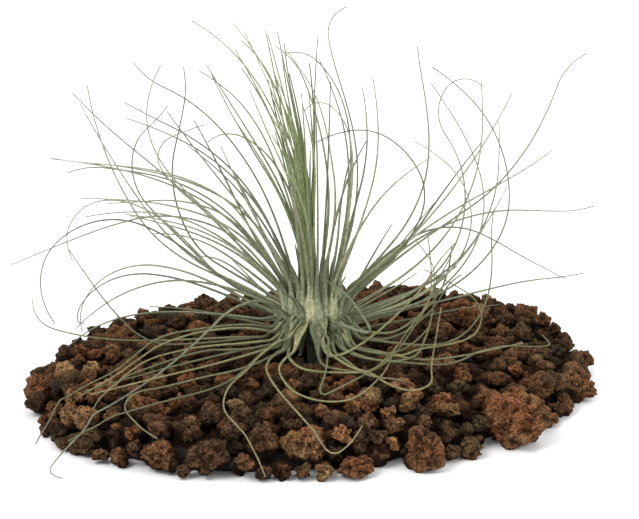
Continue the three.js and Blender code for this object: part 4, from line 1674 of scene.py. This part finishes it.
    def bubbled(
        self, reach: np.ndarray, ball: np.ndarray, half: float, draw: np.random.Generator
    ) -> tuple[np.ndarray, np.ndarray]:
        """Opens bubbles of three sizes in a stone's surface.

        Args:
            reach: Its reach in each direction.
            ball: The directions.
            half: Half its size.
            draw: The stone's own random draws.

        Returns:
            The reach with the bubbles taken out, and how deep in one each vertex lies, which is painted as
            shade.
        """
        painted_shade = np.zeros(len(ball))
        grain = math.sqrt(4 * math.pi / len(ball)) * half
        for spacing, depth in self.bubbles:
            if spacing < 2.2 * grain:
                continue
            count = int(clamp(12.5 * half * half / spacing**2, 8, 260))
            near = ball @ unit(draw.normal(size=(count, 3))).T
            which = near.argmax(axis=1)
            gap = np.arccos(np.clip(near.max(axis=1), -1, 1)) * half
            wide = draw.uniform(0.42, 0.8, count)[which] * spacing
            deep = draw.uniform(0.05, 1.5, count)[which] * depth
            bowl = 1 - np.clip(gap / wide, 0, 1) ** 2
            reach = reach - bowl * deep / half
            # Painted shade in the bubbles, more for the deeper ones.
            painted_shade = np.maximum(painted_shade, bowl * np.clip(deep / depth - 0.4, 0, 1))
        return reach, painted_shade

    def place_rock(self, stone: Stone, ball: np.ndarray) -> tuple[np.ndarray, np.ndarray]:
        """Shapes a ball into a broken, bubbled stone and seats it in the mound.

        Args:
            stone: The stone.
            ball: Unit directions, one for each vertex.

        Returns:
            The vertex places, and how much painted shade each vertex gets for its depth in a bubble or in
            the heap.
        """
        draw = np.random.default_rng(int(stone.seed * 1000) + 17)
        half = stone.size / 2
        reach, painted_shade = self.bubbled(self.broken(ball, stone.seed, draw), ball, half, draw)
        reach += draw.normal(0, self.roughness / half, len(ball))
        place = ball * (reach * half * self.fullness)[:, None] * (1, self.flatness, stone.squash)
        place[:, 2] += stone.z
        if stone.z > self.low_stone:
            limit = self.mound.rest_at(stone.x, stone.y) - self.below_rest
            place[:, 2] -= max(0.0, float(np.percentile(place[:, 2], 99.5)) - limit)
        place[:, 2] = np.maximum(place[:, 2], 0.0)
        place[:, :2] += (stone.x, stone.y)
        return place, np.maximum(painted_shade, self.shade_at(place))

    def dress_stones(
        self, name: str, stones: list[Stone], levels: int, skin: bpy.types.Material
    ) -> bpy.types.Object:
        """A group of stones as one piece.

        Args:
            name: The piece's name.
            stones: Its stones.
            levels: How finely each is divided.
            skin: The material.

        Returns:
            The piece, on its body.
        """
        template = template_mesh(
            f"{name} ball", lambda bm: bmesh.ops.create_icosphere(bm, subdivisions=levels, radius=1)
        )
        ball = unit(corners_of(template))
        places, painted_shades = zip(*(self.place_rock(stone, ball) for stone in stones))
        tones = [np.full(len(ball), stone.tone) for stone in stones]
        piece = piece_from(name, template, places, {"painted_shade": painted_shades, "tone": tones})
        piece.data.materials.append(skin)
        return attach(piece, "root")

    def dress(self) -> list[bpy.types.Object]:
        """The heap by size and by sector, the loose stones, the chips and the earth.

        Returns:
            The pieces.
        """
        skin = LAVA.make()
        heap = self.heap()
        log.info("heap of %d stones", len(heap))
        pieces = []
        for label, levels, group, parts in (
            ("large", 5, [s for s in heap if s.size >= self.large], 6),
            ("small", 4, [s for s in heap if s.size < self.large], 6),
        ):
            sectors = [int((math.atan2(s.y, s.x) / (2 * math.pi) + 0.5) * parts) % parts for s in group]
            for part in range(parts):
                share = [s for s, sector in zip(group, sectors) if sector == part]
                if share:
                    piece = self.dress_stones(f"gravel-{label}-{part + 1}", share, levels, skin)
                    pieces.append(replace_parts(piece, "gravel-bed"))
        for i, stone in enumerate(self.loose()):
            name = f"lava-stone-{i + 1:02d}"
            piece = self.dress_stones(f"{name}-fine", [stone], 6 if stone.size > 19 else 5, skin)
            pieces.append(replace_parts(piece, name))
        pieces.append(self.dress_stones("gravel-chips", self.chips(), 2, skin))
        pieces.append(self.earth())
        return pieces

    def earth_shape(self, bm: bmesh.types.BMesh) -> None:
        """A disc of many rings, laid a little below the mound's form.

        Args:
            bm: An empty bmesh.
        """
        bmesh.ops.create_cone(
            bm, cap_ends=True, cap_tris=True, segments=96, radius1=1, radius2=1, depth=1
        )
        top = [f for f in bm.faces if f.normal.z > 0.5]
        spokes = [e for f in top for e in f.edges if len([v for v in e.verts if v.co.xy.length < 0.01]) == 1]
        bmesh.ops.subdivide_edges(bm, edges=list(set(spokes)), cuts=24, use_grid_fill=True)
        for v in bm.verts:
            q = v.co.xy.length
            angle = math.atan2(v.co.y, v.co.x)
            r = q * (self.mound.rim_at(angle) - self.earth_inset)
            x, y = r * math.cos(angle), r * math.sin(angle)
            crumb = chance(round(x * 3) * 7.1 + round(y * 3) * 3.3) - 0.5
            rough = self.earth_rough * crumb if q < 0.99 else 0
            top_z = max(self.mound.height_at(x, y) - self.earth_depth + rough, self.earth_least)
            v.co = Vector((x, y, 0.2 if v.co.z < 0 else top_z)) * MM

    def earth(self) -> bpy.types.Object:
        """The gravel's dark body between and under the stones.

        Returns:
            The piece, on its body.
        """
        mesh = template_mesh("gravel-earth", self.earth_shape)
        mesh.materials.append(EarthFinish().make())
        piece = linked("gravel-earth", mesh)
        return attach(piece, "root")


# ------------------------------------------------------------------ camera and light


@dataclass(frozen=True)
class Studio:
    """The pale floor, the soft light and the camera at the photograph's angle."""

    distance: float = 850.0
    elevation: float = 17.5
    target: tuple[float, float, float] = (1.8, 22.0, 46.5)
    focal: float = 119.7
    sensor: float = 36.0
    floor_half: float = 4.0
    floor_white: Colour = (0.93, 0.93, 0.93)
    room_strength: float = 0.85
    lights_aim: tuple[float, float, float] = (0, 0, 0.05)

    def camera(self) -> None:
        """Puts the camera at the photograph's angle."""
        data = bpy.data.cameras.new("camera")
        data.lens = self.focal
        data.sensor_width = self.sensor
        obj = linked("camera", data)
        lift = math.radians(self.elevation)
        away = Vector((0, -math.cos(lift), math.sin(lift)))
        obj.location = (Vector(self.target) + away * self.distance) * MM
        obj.rotation_euler = (-away).to_track_quat("-Z", "Y").to_euler()
        bpy.context.scene.camera = obj

    def floor(self) -> None:
        """A wide, near-white floor."""
        bm = bmesh.new()
        bmesh.ops.create_grid(bm, x_segments=1, y_segments=1, size=self.floor_half)
        obj = linked("floor", mesh_of("floor", bm))
        paper = Nodes.fresh("floor paper")
        obj.data.materials.append(
            paper.finished(Base_Color=self.floor_white, Roughness=0.9, Specular_IOR_Level=0.1)
        )

    def light(self, name: str, place: tuple[float, float, float], size: float, power: float) -> None:
        """A square soft light aimed at the plant.

        Args:
            name: Its name.
            place: Where it hangs, in metres.
            size: The length of its side, in metres.
            power: Its power in watts.
        """
        data = bpy.data.lights.new(name, "AREA")
        data.size = size
        data.energy = power
        obj = linked(name, data)
        obj.location = place
        aim = Vector(self.lights_aim) - Vector(place)
        obj.rotation_euler = aim.to_track_quat("-Z", "Y").to_euler()

    def build(self) -> None:
        """Makes the camera, floor, world and lights."""
        self.camera()
        self.floor()
        world = bpy.data.worlds.new("white room")
        world.use_nodes = True
        world.node_tree.nodes["Background"].inputs["Color"].default_value = (1, 1, 1, 1)
        world.node_tree.nodes["Background"].inputs["Strength"].default_value = self.room_strength
        scene = bpy.context.scene
        scene.world = world
        scene.view_settings.view_transform = "Standard"
        scene.view_settings.look = "None"
        self.light("key", (-0.9, -0.9, 1.5), 0.9, 22)
        self.light("fill", (1.1, -0.7, 1.0), 1.2, 8)
        self.light("back", (0.2, 1.2, 1.2), 1.0, 10)


# ------------------------------------------------------------------ the whole


def main() -> None:
    """Loads the frame, dresses every piece over it at the frame's sizes and logs each piece's faces."""
    logging.basicConfig(level=logging.INFO, format="%(message)s")
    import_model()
    Studio().build()
    mound = Mound()
    growth = Growth(mound)
    leaves = growth.grow()
    rosette = Rosette()
    pieces = [
        rosette.bulb(OLIVE),
        rosette.dress("old-leaf-bases", growth.stubs(), BARK),
    ]
    for kind, finish, node in (
        (Leafage.FAN, SILVER, "rosette"),
        (Leafage.HEART, GREEN, "heart-leaves"),
        (Leafage.LOW, OLIVE, "low-leaves"),
    ):
        group = [leaf for leaf in leaves if leaf.kind is kind]
        pieces.append(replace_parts(rosette.dress(f"{node}-fine", group, finish), node))
    pieces += Gravel(mound).dress()
    for piece in pieces:
        log.info("%s: %d faces", piece.name, len(piece.data.polygons))


if __name__ == "__main__":
    main()
